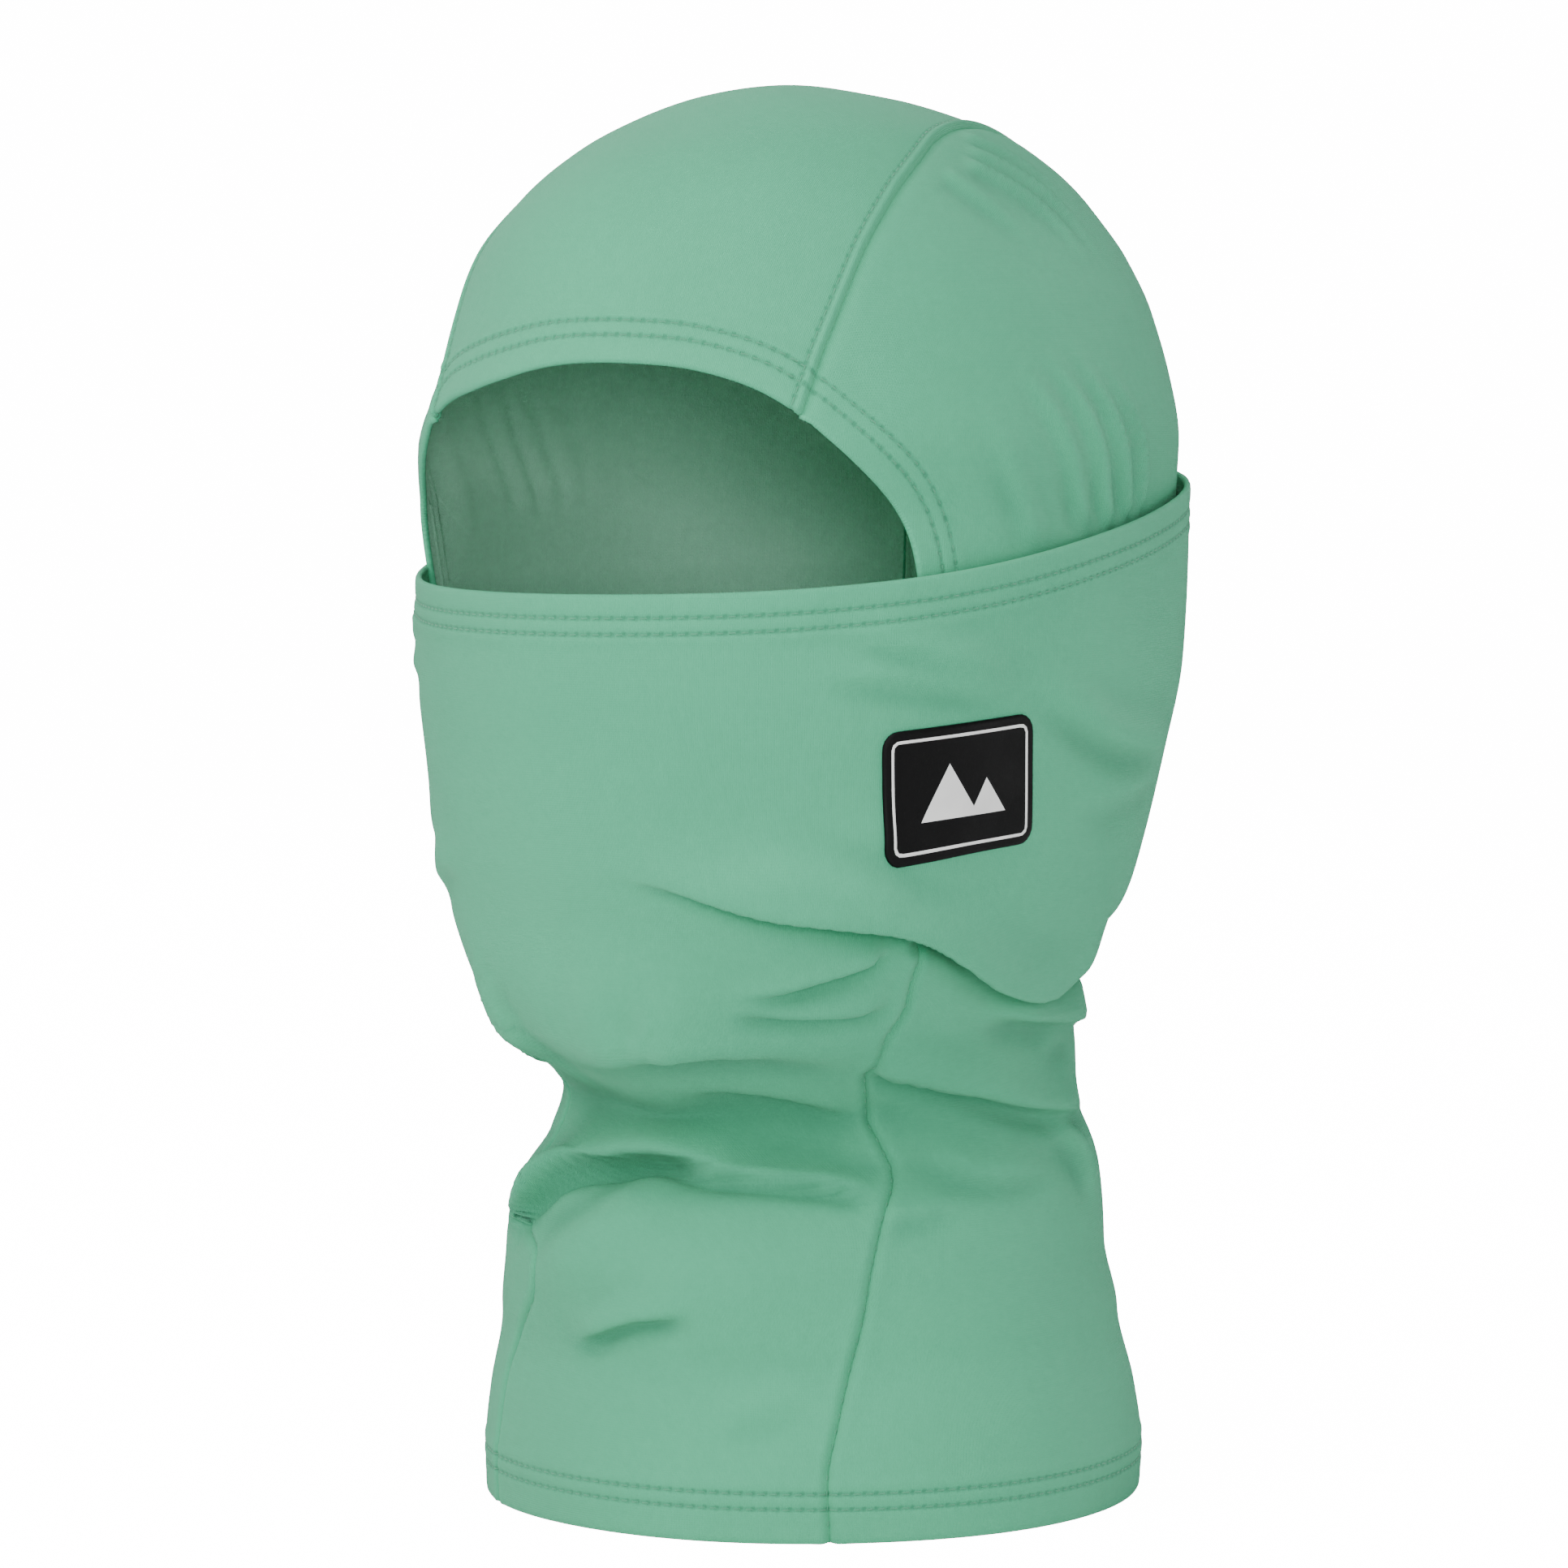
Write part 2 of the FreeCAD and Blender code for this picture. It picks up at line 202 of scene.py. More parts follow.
# ---- the form under the cloth --------------------------------------------------------------------
class HeadForm:
    """The smooth shape that a layer of cloth hangs on: an ellipse at every height."""

    def __init__(self, levels: Sequence[Sequence[float]], top: Optional[float] = None) -> None:
        """Takes the levels in MM and the height at which the form closes, if it does.

        Args:
            levels: rows of height, half width, front reach and back reach, MM.
            top: height at which the form closes, MM, where it does.
        """
        z, half, front, back = np.array(levels, float).T * MM
        depth = ((back - front) / 2) ** 2
        ratio = depth / half ** 2
        middle = (front + back) / 2
        if top is not None:
            z, depth = np.append(z, top * MM), np.append(depth, 0.0)
            ratio, middle = np.append(ratio, ratio[-1]), np.append(middle, middle[-1])
        self.heights, self.depths, self.ratios, self.middles = z, depth, ratio, middle
        self.falling = 0.0 if top is None else (depth[-1] - depth[-2]) / (z[-1] - z[-2])

    def measures(self, z: Array) -> tuple[Array, Array, Array]:
        """Squared half depth, squared depth over width, and middle y at each height."""
        depth = monotone(self.heights, self.depths, z) + self.falling * np.maximum(z - self.heights[-1], 0.0)
        return depth, monotone(self.heights, self.ratios, z), monotone(self.heights, self.middles, z)

    def ring(self, turn: Array, z: Array) -> Array:
        """Points at a turn from the front, in degrees, and a height.

        Args:
            turn: turns from the front, in degrees.
            z: heights.

        Returns:
            The points.
        """
        depth, ratio, middle = self.measures(z)
        angle = np.radians(turn)
        x, y = np.sqrt(depth / ratio) * np.sin(angle), middle - np.sqrt(depth) * np.cos(angle)
        return np.stack([x, y, z], -1)

    def turn_of(self, p: Array) -> float:
        """Turn at which a point of the left half lies.

        Args:
            p: a point on the form.

        Returns:
            The turn from the front, in degrees.
        """
        turns = np.linspace(0.0, 180.0, 3601)
        gaps = np.linalg.norm(self.ring(turns, np.full(len(turns), p[2])) - p, axis=1)
        return float(turns[gaps.argmin()])

    def excess(self, p: Array) -> Array:
        """Below zero inside the form, above zero outside it."""
        depth, ratio, middle = self.measures(p[..., 2])
        return ratio * p[..., 0] ** 2 + (p[..., 1] - middle) ** 2 - depth

    def normals(self, p: Array) -> Array:
        """Outward directions at points on the form.

        Args:
            p: points on the form.

        Returns:
            A direction of length 1 for each point.
        """
        _, ratio, middle = self.measures(p[..., 2])
        up = np.zeros_like(p)
        up[..., 2] = 0.3 * MM
        rise = (self.excess(p + up) - self.excess(p - up)) / (0.6 * MM)
        return unit(np.stack([2 * ratio * p[..., 0], 2 * (p[..., 1] - middle), rise], -1))

    def cast(self, origin: Array, heading: Array) -> Array:
        """Where rays from inside the form leave it.

        Args:
            origin: start of the rays, inside the form.
            heading: direction of each ray.

        Returns:
            The points where the rays leave.
        """
        near, far = np.zeros(heading.shape[:-1]), np.full(heading.shape[:-1], 0.26)
        heading = unit(heading)
        for _ in range(34):
            half = (near + far) / 2
            inside = self.excess(origin + heading * half[..., None]) < 0
            near, far = np.where(inside, half, near), np.where(inside, far, half)
        return origin + heading * near[..., None]

    def snap(self, p: Array) -> Array:
        """Moves points level, away from the middle, onto the form.

        Args:
            p: points near the form.

        Returns:
            The points on the form.
        """
        depth, ratio, middle = self.measures(p[..., 2])
        grow = np.sqrt(depth / np.maximum(ratio * p[..., 0] ** 2 + (p[..., 1] - middle) ** 2, 1e-12))
        return np.stack([p[..., 0] * grow, middle + (p[..., 1] - middle) * grow, p[..., 2]], -1)


class HoodForm(HeadForm):
    """The hood's form, which closes over the crown."""

    centre: Array = np.array([0.0, 0.0, 215.0 * MM])

    def snap(self, p: Array) -> Array:
        """Moves points away from the hood's inner centre onto the form."""
        return self.cast(self.centre, p - self.centre)


def hem_height(y: Array) -> Array:
    """Height of the face tube's top edge at a distance back."""
    line = np.array(HEM_LINE) * MM
    return monotone(line[:, 0], line[:, 1], y)


def jaw_height(turn: Array) -> Array:
    """Height of the seam between hood and neck back at a turn in degrees."""
    line = np.array(JAW_LINE)
    return monotone(line[:, 0], line[:, 1], np.abs(turn)) * MM


def seam_turn(z: Array, left: bool) -> Array:
    """Turn of a neck seam at a height, in degrees, below zero on the wearer's right."""
    line = np.array(LEFT_SEAM if left else RIGHT_SEAM)
    return monotone(line[:, 0], line[:, 1], z / MM) * (1.0 if left else -1.0)


class Trace:
    """A line on the form, with the way it runs and the side that is up from it."""

    def __init__(self, form: HeadForm, points: Array) -> None:
        """Takes points already on the form.

        Args:
            form: the form that the line lies on.
            points: the line's points, on the form.
        """
        self.points = points
        self.normals = form.normals(points)
        self.tangents = unit(np.gradient(points, axis=0))
        self.ups = unit(np.cross(self.normals, self.tangents))
        gaps = np.linalg.norm(np.diff(points, axis=0), axis=1)
        self.runs = np.concatenate([[0.0], np.cumsum(gaps)])
        self.gap = float(gaps.mean())

    def measure(self, p: Array) -> tuple[Array, Array, Array]:
        """Signed distance across the line, distance along it, and distance from it.

        Args:
            p: the points to measure.

        Returns:
            The three distances of each point; across is above zero on the line's up side.
        """
        across, along, away = np.empty(len(p)), np.empty(len(p)), np.empty(len(p))
        for start in range(0, len(p), 3000):
            part = slice(start, start + 3000)
            square = (p[part] ** 2).sum(1)[:, None] - 2 * p[part] @ self.points.T + (self.points ** 2).sum(1)
            i = square.argmin(1)
            gap = p[part] - self.points[i]
            side, run = (gap * self.ups[i]).sum(1), (gap * self.tangents[i]).sum(1)
            across[part], along[part] = side, self.runs[i] + run
            depth = (gap * self.normals[i]).sum(1)
            away[part] = np.sqrt(side ** 2 + 0.2 * depth ** 2 + np.maximum(np.abs(run) - self.gap, 0.0) ** 2)
        return across, along, away


# ---- what shapes the cloth ---------------------------------------------------------------------------
@dataclass(frozen=True)
class Fold:
    """A fold or pull in the cloth, MM: knots on the form, and its shape across.

    The knots are (turn, height) on the tube and (x, y, z) on the hood. The cloth lifts along the line,
    reaches above and below it, sinks into a pocket under it and slumps down over that.
    """

    knots: tuple[tuple[float, ...], ...]
    lift: float
    above: float
    below: float
    pocket: float = 0.0
    slump: float = 0.0
    fade: tuple[float, float] = (0.3, 0.3)

    def trace(self, form: HeadForm) -> Trace:
        """The fold's line on a form.

        Args:
            form: the form under the cloth.

        Returns:
            The line that the fold follows.
        """
        knots = np.array(self.knots, float)
        if knots.shape[1] == 2:
            points = form.ring(knots[:, 0], knots[:, 1] * MM)
        else:
            points = knots * MM
        return Trace(form, form.snap(flowing(points, 1.2 * MM)))

    def shape(self, form: HeadForm, p: Array) -> tuple[Array, Array]:
        """How far each point lifts off the form, and how far it moves along it.

        Args:
            form: the form under the cloth.
            p: points on the form.

        Returns:
            The lift and the move of each point.
        """
        line = self.trace(form)
        across, along, away = line.measure(p)
        total = line.runs[-1]
        first, last = (max(f, 1e-3) * total for f in self.fade)
        strength = smooth(along / first) * smooth((total - along) / last)
        strength = strength * smooth((60 * MM - away) / (20 * MM))
        s = across / MM
        width = np.where(s > 0, self.above, self.below)
        ridge = bell(s / width)
        sunk = bell((s + 1.5 * self.below) / (1.0 * self.below + 0.8))
        lift = strength * (self.lift * ridge - self.pocket * sunk) * MM
        i = np.clip(np.searchsorted(line.runs, along), 0, len(line.runs) - 1)
        sag = self.slump * bell(s / np.where(s > 0, 1.15 * self.above, 0.6 * self.below))
        shift = -line.ups[i] * (strength * sag * MM)[:, None]
        return lift, shift


@dataclass(frozen=True)
class Tug:
    """Cloth pulled one way round a point, MM."""

    centre: tuple[float, float, float]
    reach: float
    move: tuple[float, float, float]

    def shift(self, p: Array) -> Array:
        """How far each point moves."""
        away = np.linalg.norm(p - np.array(self.centre) * MM, axis=1) / (self.reach * MM)
        return smooth(1 - away)[:, None] * np.array(self.move) * MM


# ---- folds ---------------------------------------------------------------------------------------------
def mirrored(fold: Fold, share: float = 0.8) -> Fold:
    """The fold on the wearer's other side, a little weaker.

    Args:
        fold: the fold to mirror.
        share: its strength beside the first one's.

    Returns:
        The mirrored fold.
    """
    knots = tuple((-k[0], *k[1:]) for k in reversed(fold.knots))
    return Fold(knots, fold.lift * share, fold.above, fold.below, fold.pocket * share, fold.slump * share,
                (fold.fade[1], fold.fade[0]))


CHIN_FOLDS = (
    Fold(((6, 149), (15, 147.5), (24, 145.5), (33, 143.3), (46, 140.5), (53, 139), (59, 136.5),
          (67, 131.5), (76, 126), (85, 122.8), (94, 123), (102, 126), (112, 132)),
         6.2, 7.5, 2.3, 3.2, 3.7, (0.28, 0.12)),
    Fold(((24, 151), (36, 150), (48, 147), (58, 143)), 1.8, 5.0, 3.5, 0.6, 0.0, (0.4, 0.3)),
    Fold(((25, 122), (33, 123.5), (41, 126.4), (49, 129.8), (53, 132.5)),
         3.2, 4.5, 1.7, 1.9, 1.6, (0.45, 0.15)),
    Fold(((24, 119), (34, 118.6), (44, 118), (52, 119), (57, 120.5)), 2.6, 4.5, 1.9, 1.5, 1.0, (0.4, 0.2)),
)
JAW_FOLDS = (
    Fold(((90, 119), (100, 119.5), (110, 121), (124, 122.5), (146, 122.5)),
         -6.6, 7.5, 4.2, 0.0, 0.0, (0.35, 0.4)),
    Fold(((76, 116.5), (86, 115.5), (94, 114), (104, 112.5), (116, 111.5), (134, 112.5)),
         4.6, 4.6, 3.4, 1.6, 0.9, (0.25, 0.4)),
    Fold(((92, 105.5), (106, 106), (120, 105)), 1.6, 4.0, 2.4, 0.8, 0.4, (0.35, 0.4)),
)
CHEEK_FOLDS = (
    Fold(((42, 200), (50, 199), (60, 195), (72, 191)), 2.3, 5.0, 3.0, 0.6, 0.0, (0.4, 0.4)),
    Fold(((38, 192), (50, 191), (60, 189), (72, 186)), 2.0, 4.5, 2.6, 0.5, 0.0, (0.4, 0.3)),
    Fold(((72, 190), (82, 182), (92, 176), (106, 173), (122, 174)), 3.0, 6.0, 3.0, 1.1, 0.0, (0.35, 0.4)),
    Fold(((82, 164), (94, 163), (108, 166), (122, 168)), 1.9, 6.0, 4.0, 0.7, 0.0, (0.4, 0.4)),
    Fold(((40, 158), (50, 156), (60, 150), (72, 146)), 1.2, 6.0, 4.0, 0.6, 0.0, (0.4, 0.4)),
)
THROAT_FOLDS = (
    Fold(((-46, 58), (-39, 67), (-31, 75), (-18, 81), (-4, 84), (10, 83), (22, 79)),
         8.0, 8.5, 2.4, 4.4, 4.4, (0.3, 0.35)),
    Fold(((-4, 83), (10, 79.8), (22, 79.2), (34, 78.2), (47, 75)), 3.8, 4.5, 1.7, 2.1, 2.0, (0.3, 0.2)),
    Fold(((-19, 105), (0, 109), (15, 110), (33, 108.5), (51, 105)), 1.7, 5.0, 3.5, 0.9, 0.0, (0.4, 0.4)),
    Fold(((0, 99), (14, 100), (30, 97), (44, 92)), 1.8, 5.0, 3.0, 1.0, 0.4, (0.4, 0.3)),
    Fold(((-18, 40), (-9, 45), (1, 49), (13, 49.5)), 2.8, 5.0, 2.0, 1.6, 1.4, (0.35, 0.35)),
    Fold(((46, 71), (55, 71.5), (63, 72)), 1.2, 2.6, 1.6, 0.7, 0.0, (0.3, 0.4)),
    Fold(((5, 80), (-8, 70), (-20, 60), (-30, 48)), 2.6, 9.0, 6.0, 1.6, 0.0, (0.3, 0.4)),
    Fold(((14, 28), (24, 31), (33, 36)), 1.0, 5.0, 4.0, 0.5, 0.0, (0.4, 0.4)),
)
NAPE_FOLDS = (
    Fold(((47, 105), (53, 104), (60, 101.5), (69, 98.7), (82, 94), (107, 90), (126, 89)),
         3.9, 5.5, 2.4, 2.2, 1.7, (0.10, 0.4)),
    Fold(((88, 91), (98, 85), (104, 77), (109, 66)), 2.4, 5.0, 4.0, 1.2, 0.0, (0.35, 0.4)),
    Fold(((52, 84), (64, 80), (78, 79), (90, 80)), 1.8, 5.0, 3.0, 1.0, 0.4, (0.3, 0.4)),
    Fold(((128, 100), (150, 96), (176, 95), (200, 97), (222, 101)), 3.4, 6.5, 2.6, 1.8, 1.2, (0.35, 0.35)),
    Fold(((150, 74), (170, 70), (196, 71), (214, 76)), 2.2, 6.0, 3.2, 1.2, 0.6, (0.35, 0.35)),
    Fold(((142, 131), (166, 128), (194, 128), (220, 132)), 2.0, 7.0, 4.0, 1.0, 0.4, (0.4, 0.4)),
)
RIGHT_FOLDS = (
    Fold(((-122, 126), (-110, 122.5), (-96, 120.5), (-84, 121.5), (-72, 126), (-62, 131)),
         3.8, 7.0, 2.2, 1.9, 1.4, (0.25, 0.45)),
    Fold(((-60, 139), (-52, 143), (-42, 147), (-30, 149)), 1.6, 6.0, 3.0, 0.8, 0.2, (0.4, 0.4)),
)
TUBE_FOLDS = (CHIN_FOLDS + JAW_FOLDS + tuple(mirrored(f) for f in JAW_FOLDS) + RIGHT_FOLDS + THROAT_FOLDS
              + CHEEK_FOLDS + tuple(mirrored(f, 0.6) for f in CHEEK_FOLDS)
              + NAPE_FOLDS + tuple(mirrored(f) for f in NAPE_FOLDS[:2]))
SIDE_PULLS = (
    Fold(((50, -15, 303), (55, -6, 299), (62, 6, 291), (68, 12, 279)),
         1.5, 2.4, 2.0, 0.8, 0.0, (0.12, 0.55)),
    Fold(((47, -10, 306), (53, 2, 301), (60, 14, 292), (66, 22, 280)),
         1.5, 2.4, 2.0, 0.8, 0.0, (0.12, 0.55)),
    Fold(((44, -6, 309), (50, 9, 303), (57, 22, 294)), 1.2, 2.2, 1.8, 0.6, 0.0, (0.12, 0.55)),
    Fold(((50, -24, 300), (57, -18, 294), (65, -6, 284)), 1.1, 2.8, 2.2, 0.6, 0.0, (0.12, 0.6)),
    Fold(((73, -30, 260), (76, -22, 249), (79, -14, 237), (80, -8, 224)),
         1.3, 3.0, 2.4, 0.7, 0.0, (0.5, 0.02)),
    Fold(((74, -22, 262), (77, -11, 250), (79, -3, 238), (80, 3, 224)),
         1.5, 2.8, 2.2, 0.8, 0.0, (0.5, 0.02)),
    Fold(((74, -12, 262), (77, -1, 250), (79, 7, 239), (80, 13, 226)), 1.6, 2.8, 2.2, 0.9, 0.0, (0.5, 0.02)),
    Fold(((75, -2, 260), (77, 9, 249), (78, 17, 240), (79, 22, 228)), 1.3, 2.6, 2.0, 0.8, 0.0, (0.5, 0.02)),
    Fold(((71, -44, 250), (75, -36, 240), (78, -30, 228), (79, -26, 218)),
         0.9, 4.0, 3.0, 0.4, 0.0, (0.5, 0.1)),
)
BACK_PULLS = (
    Fold(((-30, 92, 250), (-10, 97, 246), (12, 97, 246), (32, 91, 251)),
         0.9, 7.0, 5.0, 0.4, 0.0, (0.4, 0.4)),
)
CROWN_FOLDS = SIDE_PULLS + tuple(mirrored(f, 0.22) for f in SIDE_PULLS) + BACK_PULLS
CROWN_TUGS = (Tug((-28, -90, 253), 34.0, (0, 0, -4.2)), Tug((-66, -58, 225), 29.0, (-3.0, -1.9, 0)))


@dataclass
class Band:
    """A turned-up hem along an edge: two thicknesses of cloth, sewn with rows of stitches."""

    line: Trace
    width: float
    rows: tuple[float, ...]
    step: float = 0.26 * MM

    def shape(self, away: Array) -> Array:
        """How far the hem stands out at a distance from the edge.

        Args:
            away: distance of each point from the edge.

        Returns:
            The lift of each point.
        """
        lift = self.step * (1 - smooth((away - self.width) / (1.6 * MM)))
        for row in self.rows:
            lift = lift - 0.30 * MM * bell((away - row) / (0.65 * MM))
        return lift + 0.12 * MM * bell((away - 1.2 * MM) / (1.6 * MM))


@dataclass
class Seam:
    """A seam: a groove with a soft or corded welt beside it."""

    line: Trace
    groove: float = 0.9 * MM
    half: float = 1.0 * MM
    welt: float = 0.25 * MM
    welt_at: float = 2.3 * MM
    welt_half: float = 1.5 * MM

    def shape(self, away: Array) -> Array:
        """How far the cloth sinks and lifts at a distance from the seam."""
        welt = self.welt * bell((away - self.welt_at) / self.welt_half)
        return welt - self.groove * bell(away / self.half)


@dataclass
class Drape:
    """A layer of cloth on a form: the form, with its folds, hems and seams."""

    form: HeadForm
    folds: Sequence[Fold] = ()
    bands: Sequence[Band] = ()
    seams: Sequence[Seam] = ()
    tugs: Sequence[Tug] = ()
    ease: float = 0.45 * MM

    def place(self, base: Array) -> Array:
        """Where points of the form end up on the cloth's outer face.

        Args:
            base: points on the form.

        Returns:
            The points on the cloth.
        """
        normals = self.form.normals(base)
        lift = self.ease * (np.sin(base[:, 0] / 0.017 + 1.3 * np.sin(base[:, 2] / 0.023))
                            * np.sin(base[:, 1] / 0.021 + base[:, 2] / 0.031))
        shift = np.zeros_like(base)
        for fold in self.folds:
            rise, slide = fold.shape(self.form, base)
            lift = lift + rise
            shift += slide
        for tug in self.tugs:
            shift += tug.shift(base)
        for band in self.bands:
            lift = lift + band.shape(band.line.measure(base)[2])
        for seam in self.seams:
            lift = lift + seam.shape(seam.line.measure(base)[2])
        return base + normals * lift[:, None] + shift


# ---- cloth meshes ------------------------------------------------------------------------------------
@dataclass
class Panel:
    """A cloth panel's outer face before it gets its thickness."""

    base: Array
    quads: Array
    weave: Array
    outer: Array = field(default_factory=lambda: np.zeros((0, 3)))

    def mirrored(self) -> "Panel":
        """The same panel on the wearer's other side."""
        flip = np.array([-1.0, 1.0, 1.0])
        return Panel(self.base * flip, self.quads[:, ::-1].copy(), self.weave * np.array([-1.0, 1.0]))


def grid(rows: int, columns: int) -> Array:
    """Four-sided faces of a grid whose points are numbered row by row."""
    index = np.arange(rows * columns).reshape(rows, columns)
    return np.stack([index[:-1, :-1], index[:-1, 1:], index[1:, 1:], index[1:, :-1]], -1).reshape(-1, 4)


def face_normals(points: Array, quads: Array) -> Array:
    """Outward direction at every point of a mesh of four-sided faces.

    Args:
        points: the mesh's points.
        quads: its faces.

    Returns:
        A direction for each point.
    """
    cross = np.cross(points[quads[:, 2]] - points[quads[:, 0]], points[quads[:, 3]] - points[quads[:, 1]])
    total = np.zeros_like(points)
    for corner in range(4):
        np.add.at(total, quads[:, corner], cross)
    return unit(total)


def crease_shade_mask(points: Array, quads: Array, normals: Array, rounds: int = 7, deep: float = 0.55 * MM) -> Array:
    """How far down in a crease each point lies, from 0 to 1, which the knit finish darkens by as painted
    shade.

    Args:
        points: the cloth's outer face.
        quads: its faces.
        normals: outward direction at each point.
        rounds: how often the face is smoothed to find the level round a crease.
        deep: depth that counts as 1.

    Returns:
        The depth of the crease at each point.
    """
    ends = np.concatenate([quads[:, [0, 1]], quads[:, [1, 2]], quads[:, [2, 3]], quads[:, [3, 0]]])
    ends = np.concatenate([ends, ends[:, ::-1]])
    count = np.bincount(ends[:, 0], minlength=len(points))
    level = points
    for _ in range(rounds):
        sums = [np.bincount(ends[:, 0], weights=level[ends[:, 1], k], minlength=len(points))
                for k in range(3)]
        level = np.stack(sums, -1) / count[:, None]
    found = np.clip(((level - points) * normals).sum(1) / deep, 0.0, 1.0)
    for _ in range(2):
        found = np.bincount(ends[:, 0], weights=found[ends[:, 1]], minlength=len(points)) / count
    return found


def open_edges(quads: Array, count: int) -> Array:
    """Edges used by one face only, as pairs in the face's own order.

    Args:
        quads: the mesh's faces.
        count: number of its points.

    Returns:
        The two ends of each open edge.
    """
    edges = np.concatenate([quads[:, [0, 1]], quads[:, [1, 2]], quads[:, [2, 3]], quads[:, [3, 0]]])
    edges = edges[edges[:, 0] != edges[:, 1]]
    forward = edges[:, 0].astype(np.int64) * count + edges[:, 1]
    backward = edges[:, 1].astype(np.int64) * count + edges[:, 0]
    return edges[~np.isin(forward, backward)]


def make_mesh(name: str, points: Array, faces: Sequence[Sequence[int]],
              finish: "Finish") -> bpy.types.Object:
    """A smooth-shaded object from points and faces, wearing a finish.

    Args:
        name: the piece's name.
        points: its points.
        faces: its faces.
        finish: the finish it wears.

    Returns:
        The piece.
    """
    mesh = bpy.data.meshes.new(name)
    mesh.from_pydata(points.tolist(), [], faces)
    mesh.validate()
    mesh.shade_smooth()
    made = bpy.data.objects.new(name, mesh)
    bpy.context.scene.collection.objects.link(made)
    made.data.materials.append(finish.material())
    return made


def thick_cloth(name: str, panel: Panel, thickness: Array, finish: "Finish", marks: dict[str, Array],
                lining: Optional["Finish"] = None) -> bpy.types.Object:
    """A closed mesh of real thickness with rounded edges.

    Args:
        name: the piece's name.
        panel: the placed panel.
        thickness: cloth thickness at each point of the panel.
        finish: the cloth's finish.
        marks: values at each point of the panel that the finish reads.
        lining: finish of the inner face, where it differs.

    Returns:
        The piece.
    """
    used, quads = np.unique(panel.quads, return_inverse=True)
    quads = quads.reshape(-1, 4)
    outer, weave, thick = panel.outer[used], panel.weave[used], thickness[used]
    out = face_normals(outer, quads)
    count = len(outer)
    inner = outer - out * thick[:, None]
    edges = open_edges(quads, count)
    away = np.zeros_like(outer)
    side = np.cross(outer[edges[:, 1]] - outer[edges[:, 0]], out[edges[:, 0]])
    np.add.at(away, edges[:, 0], side)
    np.add.at(away, edges[:, 1], side)
    rim = np.unique(edges)
    away = unit(away)
    steps = 3
    slot = np.full(count, -1)
    slot[rim] = np.arange(len(rim))
    rims = []
    for k in range(1, steps + 1):
        angle = math.pi * k / (steps + 1)
        middle = (outer[rim] + inner[rim]) / 2
        half = thick[rim, None] / 2
        rims.append(middle + out[rim] * half * math.cos(angle) + away[rim] * half * math.sin(angle))
    points = np.concatenate([outer, inner] + rims)
    faces = [quads, quads[:, ::-1] + count]

    def layer(vertices: Array, k: int) -> Array:
        """Numbers of the rim points k steps round from the outer face.

        Args:
            vertices: points of the outer face.
            k: steps round the rim.

        Returns:
            The numbers in the whole mesh.
        """
        if k == 0:
            return vertices
        if k > steps:
            return vertices + count
        return 2 * count + (k - 1) * len(rim) + slot[vertices]

    for k in range(steps + 1):
        a, b = edges[:, 0], edges[:, 1]
        faces.append(np.stack([layer(b, k), layer(a, k), layer(a, k + 1), layer(b, k + 1)], -1))
    every = np.concatenate(faces)
    listed = [list(dict.fromkeys(f)) for f in every.tolist()]
    made = make_mesh(name, points, [f for f in listed if len(f) > 2], finish)
    order = np.concatenate([np.arange(count), np.arange(count)] + [rim] * steps)
    flat = made.data.uv_layers.new(name="weave")
    corners = np.zeros(len(made.data.loops), np.int32)
    made.data.loops.foreach_get("vertex_index", corners)
    flat.data.foreach_set("uv", weave[order][corners].astype(np.float32).ravel())
    marks = {mark: values[used] for mark, values in marks.items()}
    # painted shade: the crease depth darkens the knit's colour in the creases
    marks["crease_shade"] = crease_shade_mask(outer, quads, out)
    for mark, values in marks.items():
        attribute = made.data.attributes.new(mark, "FLOAT", "POINT")
        attribute.data.foreach_set("value", values[order].astype(np.float32))
    if lining is not None:
        made.data.materials.append(lining.material())
        lined = np.zeros(len(made.data.polygons), np.int32)
        lined[len(quads):2 * len(quads)] = 1
        made.data.polygons.foreach_set("material_index", lined)
    log.info("%s: %d points", name, len(points))
    return made


# ---- finishes ----------------------------------------------------------------------------------------
def new_group(name: str, inputs: dict[str, str], outputs: dict[str, str]) -> bpy.types.NodeTree:
    """An empty node group with named sockets, given as name and socket type.

    Args:
        name: the group's name.
        inputs: its inputs.
        outputs: its outputs.

    Returns:
        The group.
    """
    group = bpy.data.node_groups.new(name, "ShaderNodeTree")
    for label, kind in inputs.items():
        group.interface.new_socket(label, in_out="INPUT", socket_type=kind)
    for label, kind in outputs.items():
        group.interface.new_socket(label, in_out="OUTPUT", socket_type=kind)
    return group


